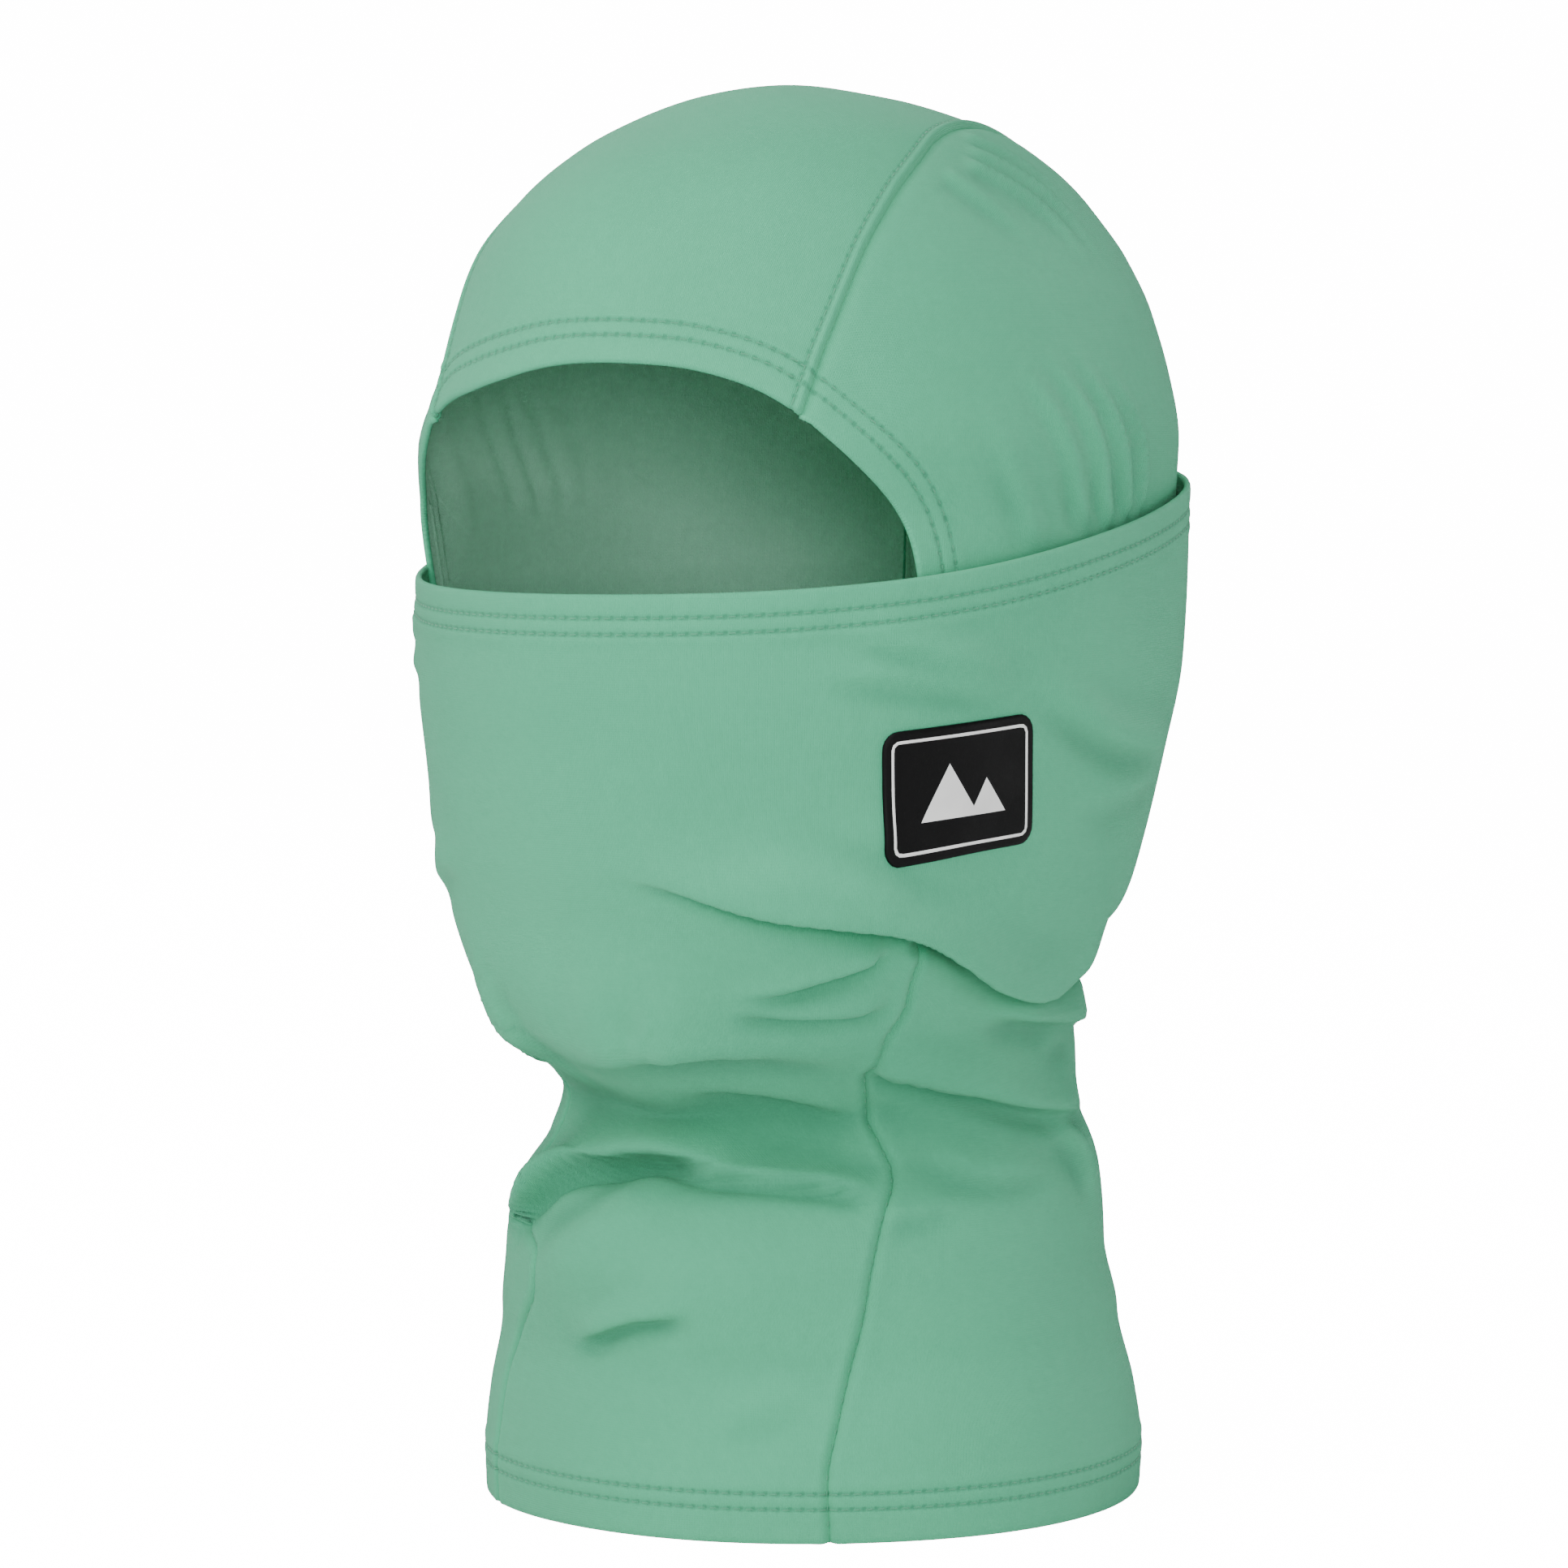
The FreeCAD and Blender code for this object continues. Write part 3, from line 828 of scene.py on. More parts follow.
class Nodes:
    """Short ways to add and join nodes in one tree."""

    def __init__(self, tree: bpy.types.NodeTree) -> None:
        """Takes the tree to work in."""
        self.tree = tree

    def add(self, kind: str, **settings: object) -> bpy.types.Node:
        """A new node with its settings.

        Args:
            kind: the node's type.
            settings: values of the node's own settings.

        Returns:
            The node.
        """
        node = self.tree.nodes.new(kind)
        for name, value in settings.items():
            setattr(node, name, value)
        return node

    def join(self, source: object, target: object) -> None:
        """Sets a socket to a number, or links another socket to it.

        Args:
            source: a number or a socket.
            target: the socket that takes it.
        """
        if isinstance(source, bpy.types.NodeSocket):
            self.tree.links.new(source, target)
        else:
            target.default_value = source

    def math(self, operation: str, *values: object, clamp: bool = False) -> bpy.types.NodeSocket:
        """The result of one sum.

        Args:
            operation: the kind of sum.
            values: up to three numbers or sockets.
            clamp: whether the result stays between 0 and 1.

        Returns:
            The socket with the result.
        """
        node = self.add("ShaderNodeMath", operation=operation, use_clamp=clamp)
        for value, socket in zip(values, node.inputs):
            self.join(value, socket)
        return node.outputs[0]

    def weigh(self, a: object, share: float, b: object, other: float) -> bpy.types.NodeSocket:
        """The sum of a and b, each times its own share."""
        return self.math("ADD", self.math("MULTIPLY", a, share), self.math("MULTIPLY", b, other))

    def ramp(self, value: object, low: float, high: float, start: float = 0.0,
             end: float = 1.0) -> bpy.types.NodeSocket:
        """A soft change from start to end as value goes from low to high.

        Args:
            value: the number or socket that changes.
            low: value at the start.
            high: value at the end.
            start: result at the start.
            end: result at the end.

        Returns:
            The socket with the result.
        """
        node = self.add("ShaderNodeMapRange", interpolation_type="SMOOTHSTEP")
        for socket, number in zip(node.inputs, (value, low, high, start, end)):
            self.join(number, socket)
        return node.outputs[0]

    def noise(self, where: object, scale: float, detail: float = 2.0) -> bpy.types.NodeSocket:
        """Soft noise from 0 to 1.

        Args:
            where: the place it is read at.
            scale: how fine it is.
            detail: how many finer layers it has.

        Returns:
            The socket with the noise.
        """
        node = self.add("ShaderNodeTexNoise")
        self.join(where, node.inputs["Vector"])
        node.inputs["Scale"].default_value = scale
        node.inputs["Detail"].default_value = detail
        return node.outputs[0]


class Effects:
    """The node groups that finishes share, each built once."""

    made: dict[str, bpy.types.NodeTree] = {}

    @classmethod
    def knit(cls) -> bpy.types.NodeTree:
        """Rows of V-shaped loops: height of the yarn, and how worn and shaded each patch looks.

        Returns:
            The group.
        """
        if "knit" in cls.made:
            return cls.made["knit"]
        number = "NodeSocketFloat"
        group = new_group("Knit", {"Weave": "NodeSocketVector", "Wale": number, "Course": number},
                          {"Height": number, "Shade": number, "Fuzz": number})
        n = Nodes(group)
        source, sink = n.add("NodeGroupInput"), n.add("NodeGroupOutput")
        parts = n.add("ShaderNodeSeparateXYZ")
        n.join(source.outputs["Weave"], parts.inputs[0])
        across = n.math("DIVIDE", parts.outputs[0], source.outputs["Wale"])
        leg = n.math("ABSOLUTE", n.math("SUBTRACT", n.math("FRACT", across), 0.5))
        along = n.math("DIVIDE", parts.outputs[1], source.outputs["Course"])
        slanted = n.math("ADD", along, n.math("MULTIPLY", leg, 1.1))
        loop = n.math("SINE", n.math("MULTIPLY", slanted, 2 * math.pi))
        off = n.math("ABSOLUTE", n.math("SUBTRACT", leg, 0.25))
        rib = n.math("SUBTRACT", 1.0, n.math("MULTIPLY", off, 4.0))
        height = n.math("MULTIPLY", n.ramp(rib, 0.0, 1.0), n.math("MULTIPLY_ADD", loop, 0.3, 0.5))
        n.join(n.math("ADD", height, n.ramp(rib, 0.0, 1.0, 0.0, 0.7)), sink.inputs["Height"])
        where = n.add("ShaderNodeTexCoord").outputs["Object"]
        small = n.math("MULTIPLY", n.noise(where, 420.0, 2.0), 0.35)
        cloudy = n.math("ADD", n.noise(where, 14.0, 3.0), small)
        n.join(n.ramp(cloudy, 0.45, 0.95), sink.inputs["Shade"])
        n.join(n.noise(where, 2600.0, 2.0), sink.inputs["Fuzz"])
        cls.made["knit"] = group
        return group

    @classmethod
    def use_knit(cls, n: Nodes, wale: float, course: float) -> bpy.types.Node:
        """Puts the knit group into a material.

        Args:
            n: the material's nodes.
            wale: width of one column of loops.
            course: height of one row of loops.

        Returns:
            The group's node.
        """
        node = n.add("ShaderNodeGroup")
        node.node_tree = cls.knit()
        n.join(n.add("ShaderNodeUVMap", uv_map="weave").outputs[0], node.inputs["Weave"])
        node.inputs["Wale"].default_value = wale
        node.inputs["Course"].default_value = course
        return node

    @classmethod
    def needle_row(cls) -> bpy.types.NodeTree:
        """A row of needle holes: 1 in the holes and along the pressed row, 0 elsewhere; the knit finish
        sinks its bump and paints shade by it.

        Returns:
            The group.
        """
        if "needle" in cls.made:
            return cls.made["needle"]
        inputs = dict.fromkeys(("Across", "Along", "Row", "Pitch"), "NodeSocketFloat")
        group = new_group("Needle row", inputs, {"Hollow and shade": "NodeSocketFloat"})
        n = Nodes(group)
        source, sink = n.add("NodeGroupInput"), n.add("NodeGroupOutput")
        away = n.math("ABSOLUTE", n.math("SUBTRACT", source.outputs["Across"], source.outputs["Row"]))
        press = n.ramp(away, 0.0, 0.9 * MM, 1.0, 0.0)
        along = n.math("DIVIDE", source.outputs["Along"], source.outputs["Pitch"])
        hole = n.ramp(n.math("COSINE", n.math("MULTIPLY", along, 2 * math.pi)), 0.15, 0.95)
        n.join(n.math("MULTIPLY", press, n.math("MULTIPLY_ADD", hole, 0.6, 0.4)), sink.inputs["Hollow and shade"])
        cls.made["needle"] = group
        return group


@dataclass(frozen=True)
class Finish:
    """A surface finish: base colour and roughness, with what its own class adds."""

    name: str
    colour: tuple[float, float, float]
    roughness: float = 0.6

    def material(self) -> bpy.types.Material:
        """The finish's material, made the first time it is asked for.

        Returns:
            The material.
        """
        found = bpy.data.materials.get(self.name)
        if found is not None:
            return found
        made = bpy.data.materials.new(self.name)
        made.use_nodes = True
        made.node_tree.nodes.clear()
        n = Nodes(made.node_tree)
        shader = n.add("ShaderNodeBsdfPrincipled")
        shader.inputs["Roughness"].default_value = self.roughness
        shader.inputs["Base Color"].default_value = (*self.colour, 1.0)
        n.join(shader.outputs[0], n.add("ShaderNodeOutputMaterial").inputs[0])
        made.diffuse_color = (*self.colour, 1.0)
        self.dress(n, shader)
        return made

    def dress(self, n: Nodes, shader: bpy.types.Node) -> None:
        """Adds the finish's own detail to the shader."""

    def tint(self, n: Nodes, shader: bpy.types.Node, value: object, dark: float, light: float) -> None:
        """Varies the base colour from dark to light shares of itself as value goes from 0 to 1.

        Args:
            n: the material's nodes.
            shader: its shader.
            value: what the colour follows.
            dark: share of the colour at 0.
            light: share of the colour at 1.
        """
        mix = n.add("ShaderNodeMix", data_type="RGBA")
        n.join(value, mix.inputs[0])
        mix.inputs[6].default_value = (*(c * dark for c in self.colour), 1.0)
        mix.inputs[7].default_value = (*(c * light for c in self.colour), 1.0)
        n.join(mix.outputs[2], shader.inputs["Base Color"])

    def roughen(self, n: Nodes, shader: bpy.types.Node, value: object, span: tuple[float, float],
                change: tuple[float, float]) -> None:
        """Varies the roughness by the change as value goes over the span.

        Args:
            n: the material's nodes.
            shader: its shader.
            value: what the roughness follows.
            span: the values it changes between.
            change: what is added to the roughness at each.
        """
        low, high = (self.roughness + c for c in change)
        n.join(n.ramp(value, *span, low, high), shader.inputs["Roughness"])

    def bump(self, n: Nodes, shader: bpy.types.Node, height: object, distance: float,
             strength: float = 1.0) -> None:
        """Gives the shader a bump of a real depth in metres.

        Args:
            n: the material's nodes.
            shader: its shader.
            height: the socket with the height.
            distance: depth of the bump.
            strength: share of the bump that shows.
        """
        node = n.add("ShaderNodeBump")
        node.inputs["Strength"].default_value = strength
        node.inputs["Distance"].default_value = distance
        n.join(height, node.inputs["Height"])
        n.join(node.outputs[0], shader.inputs["Normal"])


@dataclass(frozen=True)
class Knit(Finish):
    """Soft stretch knit with needle rows along its hems and crown seams."""

    wale: float = 0.62 * MM
    course: float = 0.5 * MM
    sheen: float = 0.10
    hem_rows: tuple[float, float] = (0.0055, 0.009)
    seam_row: float = 2.7 * MM
    pitch: float = 2.7 * MM

    def row(self, n: Nodes, across: str, along: str, place: float) -> bpy.types.NodeSocket:
        """The hollow of one needle row read from two marks on the mesh, which also sets its painted shade.

        Args:
            n: the material's nodes.
            across: mark with the distance from the edge.
            along: mark with the distance along it.
            place: the row's distance from the edge.

        Returns:
            The socket with the hollow and its painted shade.
        """
        group = n.add("ShaderNodeGroup")
        group.node_tree = Effects.needle_row()
        for socket, mark in (("Across", across), ("Along", along)):
            n.join(n.add("ShaderNodeAttribute", attribute_name=mark).outputs["Fac"], group.inputs[socket])
        group.inputs["Row"].default_value = place
        group.inputs["Pitch"].default_value = self.pitch
        return group.outputs[0]

    def dress(self, n: Nodes, shader: bpy.types.Node) -> None:
        """Adds loops, needle rows, patchy shade and fuzz, with painted shade in the needle holes, pressed
        rows and creases.

        Args:
            n: the material's nodes.
            shader: its shader.
        """
        knit = Effects.use_knit(n, self.wale, self.course)
        needle_hollow_and_shade = self.row(n, "hem_across", "hem_along", self.hem_rows[0])
        needle_hollow_and_shade = n.math("MAXIMUM", needle_hollow_and_shade, self.row(n, "hem_across", "hem_along", self.hem_rows[1]))
        needle_hollow_and_shade = n.math("MAXIMUM", needle_hollow_and_shade, self.row(n, "seam_across", "seam_along", self.seam_row))
        loops, shade, fuzz = (knit.outputs[k] for k in ("Height", "Shade", "Fuzz"))
        yarn = n.math("ADD", n.weigh(loops, 0.22, shade, 0.55), n.math("MULTIPLY", fuzz, 0.25))
        # painted shade: the needle holes and pressed rows darken the yarn's tone
        tone_and_needle_shade = n.math("SUBTRACT", yarn, n.math("MULTIPLY", needle_hollow_and_shade, 1.6))
        self.tint(n, shader, n.math("ADD", tone_and_needle_shade, 0.0, clamp=True), 0.90, 1.10)
        # painted shade: the colour darkens towards a third of itself in the creases and along the needle
        # rows
        deep = n.add("ShaderNodeMix", data_type="RGBA")
        crease_shade = n.add("ShaderNodeAttribute", attribute_name="crease_shade").outputs["Fac"]
        sunk = n.math("MAXIMUM", n.math("MULTIPLY", needle_hollow_and_shade, 0.42), n.math("MULTIPLY", crease_shade, 0.48))
        n.join(sunk, deep.inputs[0])
        n.join(shader.inputs["Base Color"].links[0].from_socket, deep.inputs[6])
        deep.inputs[7].default_value = (*(c * 0.35 for c in self.colour), 1.0)
        n.join(deep.outputs[2], shader.inputs["Base Color"])
        self.roughen(n, shader, fuzz, (0.2, 0.8), (-0.06, 0.1))
        shader.inputs["Sheen Weight"].default_value = self.sheen
        shader.inputs["Sheen Roughness"].default_value = 0.45
        shader.inputs["Specular IOR Level"].default_value = 0.22
        height = n.math("SUBTRACT", n.weigh(loops, 0.10, fuzz, 0.12), n.math("MULTIPLY", needle_hollow_and_shade, 0.55))
        self.bump(n, shader, height, 0.7 * MM, 0.8)


@dataclass(frozen=True)
class Lining(Finish):
    """The knit's soft brushed reverse."""

    wale: float = 0.9 * MM
    course: float = 0.7 * MM
    sheen: float = 0.12

    def dress(self, n: Nodes, shader: bpy.types.Node) -> None:
        """Adds brushed pile and cloudy shade.

        Args:
            n: the material's nodes.
            shader: its shader.
        """
        knit = Effects.use_knit(n, self.wale, self.course)
        loops, shade, fuzz = (knit.outputs[k] for k in ("Height", "Shade", "Fuzz"))
        self.tint(n, shader, n.weigh(shade, 0.7, fuzz, 0.3), 0.9, 1.08)
        self.roughen(n, shader, fuzz, (0.2, 0.8), (-0.05, 0.1))
        shader.inputs["Sheen Weight"].default_value = self.sheen
        shader.inputs["Specular IOR Level"].default_value = 0.1
        self.bump(n, shader, n.weigh(fuzz, 0.5, loops, 0.1), 0.5 * MM, 0.7)


@dataclass(frozen=True)
class Thread(Finish):
    """Spun sewing thread with a fine twist."""

    twist: float = 2300.0

    def dress(self, n: Nodes, shader: bpy.types.Node) -> None:
        """Adds the twist and a little unevenness.

        Args:
            n: the material's nodes.
            shader: its shader.
        """
        where = n.add("ShaderNodeTexCoord").outputs["Object"]
        waves = n.add("ShaderNodeTexWave", wave_type="BANDS", bands_direction="DIAGONAL")
        n.join(where, waves.inputs["Vector"])
        waves.inputs["Scale"].default_value = self.twist
        waves.inputs["Distortion"].default_value = 1.5
        uneven = n.noise(where, 500.0)
        self.tint(n, shader, n.weigh(waves.outputs["Fac"], 0.5, uneven, 0.5), 0.8, 1.15)
        shader.inputs["Sheen Weight"].default_value = 0.2
        self.bump(n, shader, waves.outputs["Fac"], 0.06 * MM)


@dataclass(frozen=True)
class Moulded(Finish):
    """Soft moulded rubber or printed film with a fine grain."""

    grain: float = 1600.0
    shine: float = 0.5

    def dress(self, n: Nodes, shader: bpy.types.Node) -> None:
        """Adds the grain and handling marks.

        Args:
            n: the material's nodes.
            shader: its shader.
        """
        where = n.add("ShaderNodeTexCoord").outputs["Object"]
        fine, broad = n.noise(where, self.grain, 3.0), n.noise(where, 90.0, 3.0)
        self.tint(n, shader, broad, 0.85, 1.2)
        self.roughen(n, shader, broad, (0.3, 0.7), (-0.07, 0.09))
        shader.inputs["Specular IOR Level"].default_value = self.shine
        self.bump(n, shader, fine, 0.05 * MM, 0.6)


@dataclass(frozen=True)
class Tape(Finish):
    """Woven satin tape with a fine rib."""

    rib: float = 0.4 * MM

    def dress(self, n: Nodes, shader: bpy.types.Node) -> None:
        """Adds the rib and soft marks.

        Args:
            n: the material's nodes.
            shader: its shader.
        """
        where = n.add("ShaderNodeTexCoord").outputs["Object"]
        parts = n.add("ShaderNodeSeparateXYZ")
        n.join(where, parts.inputs[0])
        rib = n.math("SINE", n.math("MULTIPLY", parts.outputs[2], 2 * math.pi / self.rib))
        self.tint(n, shader, n.noise(where, 260.0, 3.0), 0.88, 1.06)
        self.roughen(n, shader, n.noise(where, 700.0), (0.3, 0.7), (-0.05, 0.1))
        self.bump(n, shader, rib, 0.08 * MM, 0.5)


@dataclass(frozen=True)
class Paper(Finish):
    """Backdrop paper that looks evenly white to the camera."""

    glow: float = 15.0

    def dress(self, n: Nodes, shader: bpy.types.Node) -> None:
        """Adds paper tooth and the glow that only the camera sees.

        Args:
            n: the material's nodes.
            shader: its shader.
        """
        where = n.add("ShaderNodeTexCoord").outputs["Object"]
        self.tint(n, shader, n.noise(where, 40.0, 3.0), 0.97, 1.03)
        shader.inputs["Emission Color"].default_value = (1.0, 1.0, 1.0, 1.0)
        seen = n.add("ShaderNodeLightPath").outputs["Is Camera Ray"]
        n.join(n.math("MULTIPLY", seen, self.glow), shader.inputs["Emission Strength"])
        self.bump(n, shader, n.noise(where, 300.0), 0.1 * MM, 0.3)


class Colour(Enum):
    """The colours used, as linear red, green and blue."""

    SAGE_GREEN = (0.070, 0.440, 0.240)
    # painted light: a brightened copy of the sage green for the inside of the hood
    SAGE_PAINTED_LIGHT_INSIDE = (0.37, 0.76, 0.55)
    SAGE_THREAD = (0.060, 0.380, 0.205)
    BLACK = (0.0012, 0.0012, 0.0014)
    WHITE = (0.80, 0.80, 0.79)
    STUDIO = (0.90, 0.90, 0.90)


HEM_CLOTH = Knit("sage knit, tube hem", Colour.SAGE_GREEN.value, 0.78, hem_rows=(0.0045, 0.008))
FOOT_CLOTH = Knit("sage knit, foot hem", Colour.SAGE_GREEN.value, 0.78, hem_rows=(0.007, 0.0104))
HOOD_CLOTH = Knit("sage knit, hood", Colour.SAGE_GREEN.value, 0.78)
# the hood's inner face wears the brightened sage as painted light
HOOD_LINING_PAINTED_LIGHT = Lining("sage knit, inside of the hood, painted light", Colour.SAGE_PAINTED_LIGHT_INSIDE.value, 0.85)
THREAD = Thread("sage thread", Colour.SAGE_THREAD.value, 0.6)
LABEL_RUBBER = Moulded("black label rubber", Colour.BLACK.value, 0.5, shine=0.14)
LABEL_INK = Moulded("white label print", Colour.WHITE.value, 0.5, grain=2400.0)
TAPE = Tape("white woven tape", Colour.WHITE.value, 0.5)


# ---- stitches ----------------------------------------------------------------------------------------
@dataclass
class Stitching:
    """Short raised stitches along a line on placed cloth."""

    pitch: float = 2.7 * MM
    length: float = 2.15 * MM
    radius: float = 0.23 * MM
    proud: float = 0.02 * MM

    def solid(self) -> tuple[Array, list[list[int]]]:
        """One stitch lying along x, arched, with its ends going down into the cloth.

        Returns:
            The stitch's points and its faces.
        """
        shares = np.array([-1.0, -0.93, -0.6, 0.0, 0.6, 0.93, 1.0])
        girths = np.array([0.25, 0.65, 1.0, 1.0, 1.0, 0.65, 0.25])
        sides = 6
        angle = np.arange(sides) / sides * 2 * math.pi
        points = []
        for share, girth in zip(shares, girths):
            rise = self.proud - 0.28 * MM * abs(share) ** 3
            x = np.full(sides, share * self.length / 2)
            points.append(np.stack([x, girth * self.radius * np.cos(angle) + rise,
                                    girth * self.radius * np.sin(angle)], -1))
        faces = [list(range(sides))[::-1]]
        for k in range(len(shares) - 1):
            for s in range(sides):
                a, b = k * sides + s, k * sides + (s + 1) % sides
                faces.append([a, b, b + sides, a + sides])
        last = (len(shares) - 1) * sides
        faces.append([last + s for s in range(sides)])
        return np.concatenate(points), faces

    def sew(self, name: str, rows: Sequence[tuple[Array, Array]], finish: Finish) -> bpy.types.Object:
        """Puts stitches along rows, each given as placed points and outward directions.

        Args:
            name: the piece's name.
            rows: points and directions of each row.
            finish: the thread's finish.

        Returns:
            The piece.
        """
        template, faces = self.solid()
        every, listed = [], []
        for path, normals in rows:
            run = np.concatenate([[0.0], np.cumsum(np.linalg.norm(np.diff(path, axis=0), axis=1))])
            number = max(1, int(run[-1] / self.pitch))
            at = (np.arange(number) + 0.5) * run[-1] / number
            middle = np.stack([np.interp(at, run, path[:, k]) for k in range(3)], -1)
            ahead = np.stack([np.interp(at + 0.5 * MM, run, path[:, k]) for k in range(3)], -1)
            behind = np.stack([np.interp(at - 0.5 * MM, run, path[:, k]) for k in range(3)], -1)
            out = unit(np.stack([np.interp(at, run, normals[:, k]) for k in range(3)], -1))
            tangent = unit(ahead - behind)
            side = unit(np.cross(tangent, out))
            out = np.cross(side, tangent)
            block = (middle[:, None] + template[None, :, :1] * tangent[:, None]
                     + template[None, :, 1:2] * out[:, None] + template[None, :, 2:] * side[:, None])
            first = sum(len(b) for b in every)
            every.append(block.reshape(-1, 3))
            for k in range(number):
                start = first + k * len(template)
                listed += [[start + v for v in f] for f in faces]
        made = make_mesh(name, np.concatenate(every), listed, finish)
        log.info("%s: %d stitches", name, len(listed) // len(faces))
        return made


# ---- the parts of the balaclava ------------------------------------------------------------------------
@dataclass
class Tube:
    """Face mask, throat and neck back: the outer tube with its hems and seams."""

    cloth: float = 0.8 * MM
    hem_cloth: float = 1.5 * MM
    foot_band: float = 12.5 * MM
    mask_band: float = 9.6 * MM
    mask_rows: tuple[float, float] = (4.5 * MM, 8.0 * MM)
    foot_rows: tuple[float, float] = (7.0 * MM, 10.4 * MM)
    lowest: float = 0.8 * MM
    allowance: float = 2.2 * MM
    tuck: float = 1.4 * MM
    corner: float = 59.0
    neck_height: float = 0.121
    neck_girth: float = 0.29
    weave_radius: float = 0.083

    def __post_init__(self) -> None:
        """Lays out the form, the edges and the seams."""
        self.form = HeadForm(TUBE_LEVELS)
        around = np.linspace(-180.0, 180.0, 620)
        self.top = Trace(self.form, self.form.ring(around, self.rim(around)))
        self.foot = Trace(self.form, self.form.ring(around, np.full(620, self.lowest)))
        self.sides = []
        for left in (True, False):
            z = np.linspace(0.0, jaw_height(np.array(self.corner)), 180)
            self.sides.append(Trace(self.form, self.form.ring(seam_turn(z, left), z)))
        jaw = np.linspace(self.corner, 360.0 - self.corner, 400)
        jaw = np.where(jaw > 180.0, jaw - 360.0, jaw)
        self.jaw = Trace(self.form, self.form.ring(jaw, jaw_height(jaw)))
        z = np.linspace(jaw_height(np.array(180.0)), self.rim(np.array([180.0]))[0], 120)
        self.spine = Trace(self.form, self.form.ring(np.full(120, 180.0), z))
        bands = [Band(self.top, self.mask_band, self.mask_rows),
                 Band(self.foot, self.foot_band, self.foot_rows)]
        seams = [Seam(s) for s in self.sides]
        seams += [Seam(self.jaw, groove=1.3 * MM, half=1.1 * MM, welt=0.35 * MM),
                  Seam(self.spine, groove=0.7 * MM)]
        self.drape = Drape(self.form, TUBE_FOLDS, bands, seams)

    def rim(self, turn: Array) -> Array:
        """Height of the top edge at a turn.

        Args:
            turn: turns from the front, in degrees.

        Returns:
            The heights.
        """
        turn = np.atleast_1d(np.asarray(turn, float))
        z = np.full(turn.shape, 0.215)
        for _ in range(5):
            z = hem_height(self.form.ring(turn, z)[..., 1])
        return z

    def thickness(self, base: Array) -> Array:
        """Cloth thickness, doubled in the hems.

        Args:
            base: points on the form.

        Returns:
            The thickness at each point.
        """
        top, foot = self.top.measure(base)[2], self.foot.measure(base)[2]
        near = np.maximum(1 - smooth((top - self.mask_band) / MM), 1 - smooth((foot - self.foot_band) / MM))
        return self.cloth + (self.hem_cloth - self.cloth) * near

    def marks(self, base: Array) -> dict[str, Array]:
        """Distances that the knit finish reads for its needle rows.

        Args:
            base: points on the form.

        Returns:
            The values at each point, by mark.
        """
        top, foot = self.top.measure(base), self.foot.measure(base)
        first = top[2] < foot[2]
        return {"hem_across": np.where(first, top[2], foot[2]),
                "hem_along": np.where(first, top[1], foot[1]),
                "seam_across": np.full(len(base), 0.1), "seam_along": np.zeros(len(base))}

    def mask_panel(self) -> Panel:
        """The face mask with the throat below it, open at the back of the head.

        Returns:
            The panel on the form.
        """
        front = graded(150 * MM, 1.45 * MM, 0.75 * MM, 5 * MM, 5 * MM) * 2 - 1
        flank = graded(200 * MM, 1.75 * MM, 0.8 * MM, 4 * MM, 4 * MM)[1:]
        rows = np.concatenate([graded(131 * MM, 1.2 * MM, 0.8 * MM, 13 * MM, 5 * MM),
                               1 + graded(90 * MM, 1.2 * MM, 0.8 * MM, 20 * MM, 12 * MM)[1:]])
        columns = len(front) + 2 * len(flank)
        r, c = np.meshgrid(rows, np.arange(columns), indexing="ij")
        place = np.concatenate([-2 + 0 * flank, front, 2 + 0 * flank])[c]
        share = np.concatenate([flank[::-1], 0 * front, flank])[c]
        behind = self.corner + share * (180 - self.corner)
        turn = np.where(np.abs(place) > 1.5, np.sign(place) * behind, place * self.corner)
        jaw = jaw_height(turn)
        z = np.full(r.shape, 0.1)
        for _ in range(3):
            rim = self.rim(turn.ravel()).reshape(turn.shape)
            below = self.lowest + (jaw - self.lowest) * np.clip(r, 0, 1)
            z = np.where(r <= 1, below, jaw + (rim - jaw) * np.clip(r - 1, 0, 1))
            edge = np.where(place >= 0, seam_turn(z, True), seam_turn(z, False))
            behind = edge + share * (np.sign(place) * 180 - edge)
            turn = np.where(np.abs(place) > 1.5, behind, np.abs(place) * edge)
        base = self.form.ring(turn.ravel(), z.ravel())
        quads = grid(len(rows), columns)
        low = rows[quads[:, 2] // columns] <= 1 + 1e-9
        middle = (quads % columns).mean(1)
        flanks = (middle < len(flank)) | (middle > len(flank) + len(front) - 1)
        weave = np.stack([np.radians(turn.ravel()) * self.weave_radius, z.ravel()], -1)
        return Panel(base, quads[~(low & flanks)], weave)

    def neck_panel(self) -> Panel:
        """The neck's back panel, from seam to seam round the nape and up to the jaw seam.

        Returns:
            The panel, placed, with its edges tucked under the mask's.
        """
        columns = graded(300 * MM, 1.7 * MM, 0.75 * MM, 5 * MM, 5 * MM)
        rows = graded(122 * MM, 1.35 * MM, 0.8 * MM, 13 * MM, 5 * MM)
        rows = rows * (1 + self.allowance / self.neck_height)
        columns = (columns - 0.5) * (1 + 2 * self.allowance / self.neck_girth) + 0.5
        r, c = np.meshgrid(rows, columns, indexing="ij")
        turn = np.full(r.shape, 180.0)
        for _ in range(4):
            jaw = jaw_height(np.where(turn > 180, turn - 360, turn))
            z = self.lowest + (jaw - self.lowest) * r
            first, last = seam_turn(z, True), 360 + seam_turn(z, False)
            turn = first + (last - first) * c
        base = self.form.ring(turn.ravel(), z.ravel())
        beyond = np.maximum((r - 1) * self.neck_height, np.maximum(-c, c - 1) * self.neck_girth).ravel()
        tuck = self.form.normals(base) * (-self.tuck * smooth((beyond + 0.8 * MM) / (1.8 * MM)))[:, None]
        weave = np.stack([np.radians(turn.ravel()) * self.weave_radius, z.ravel()], -1)
        return Panel(base, grid(len(rows), len(columns)), weave, self.drape.place(base) + tuck)

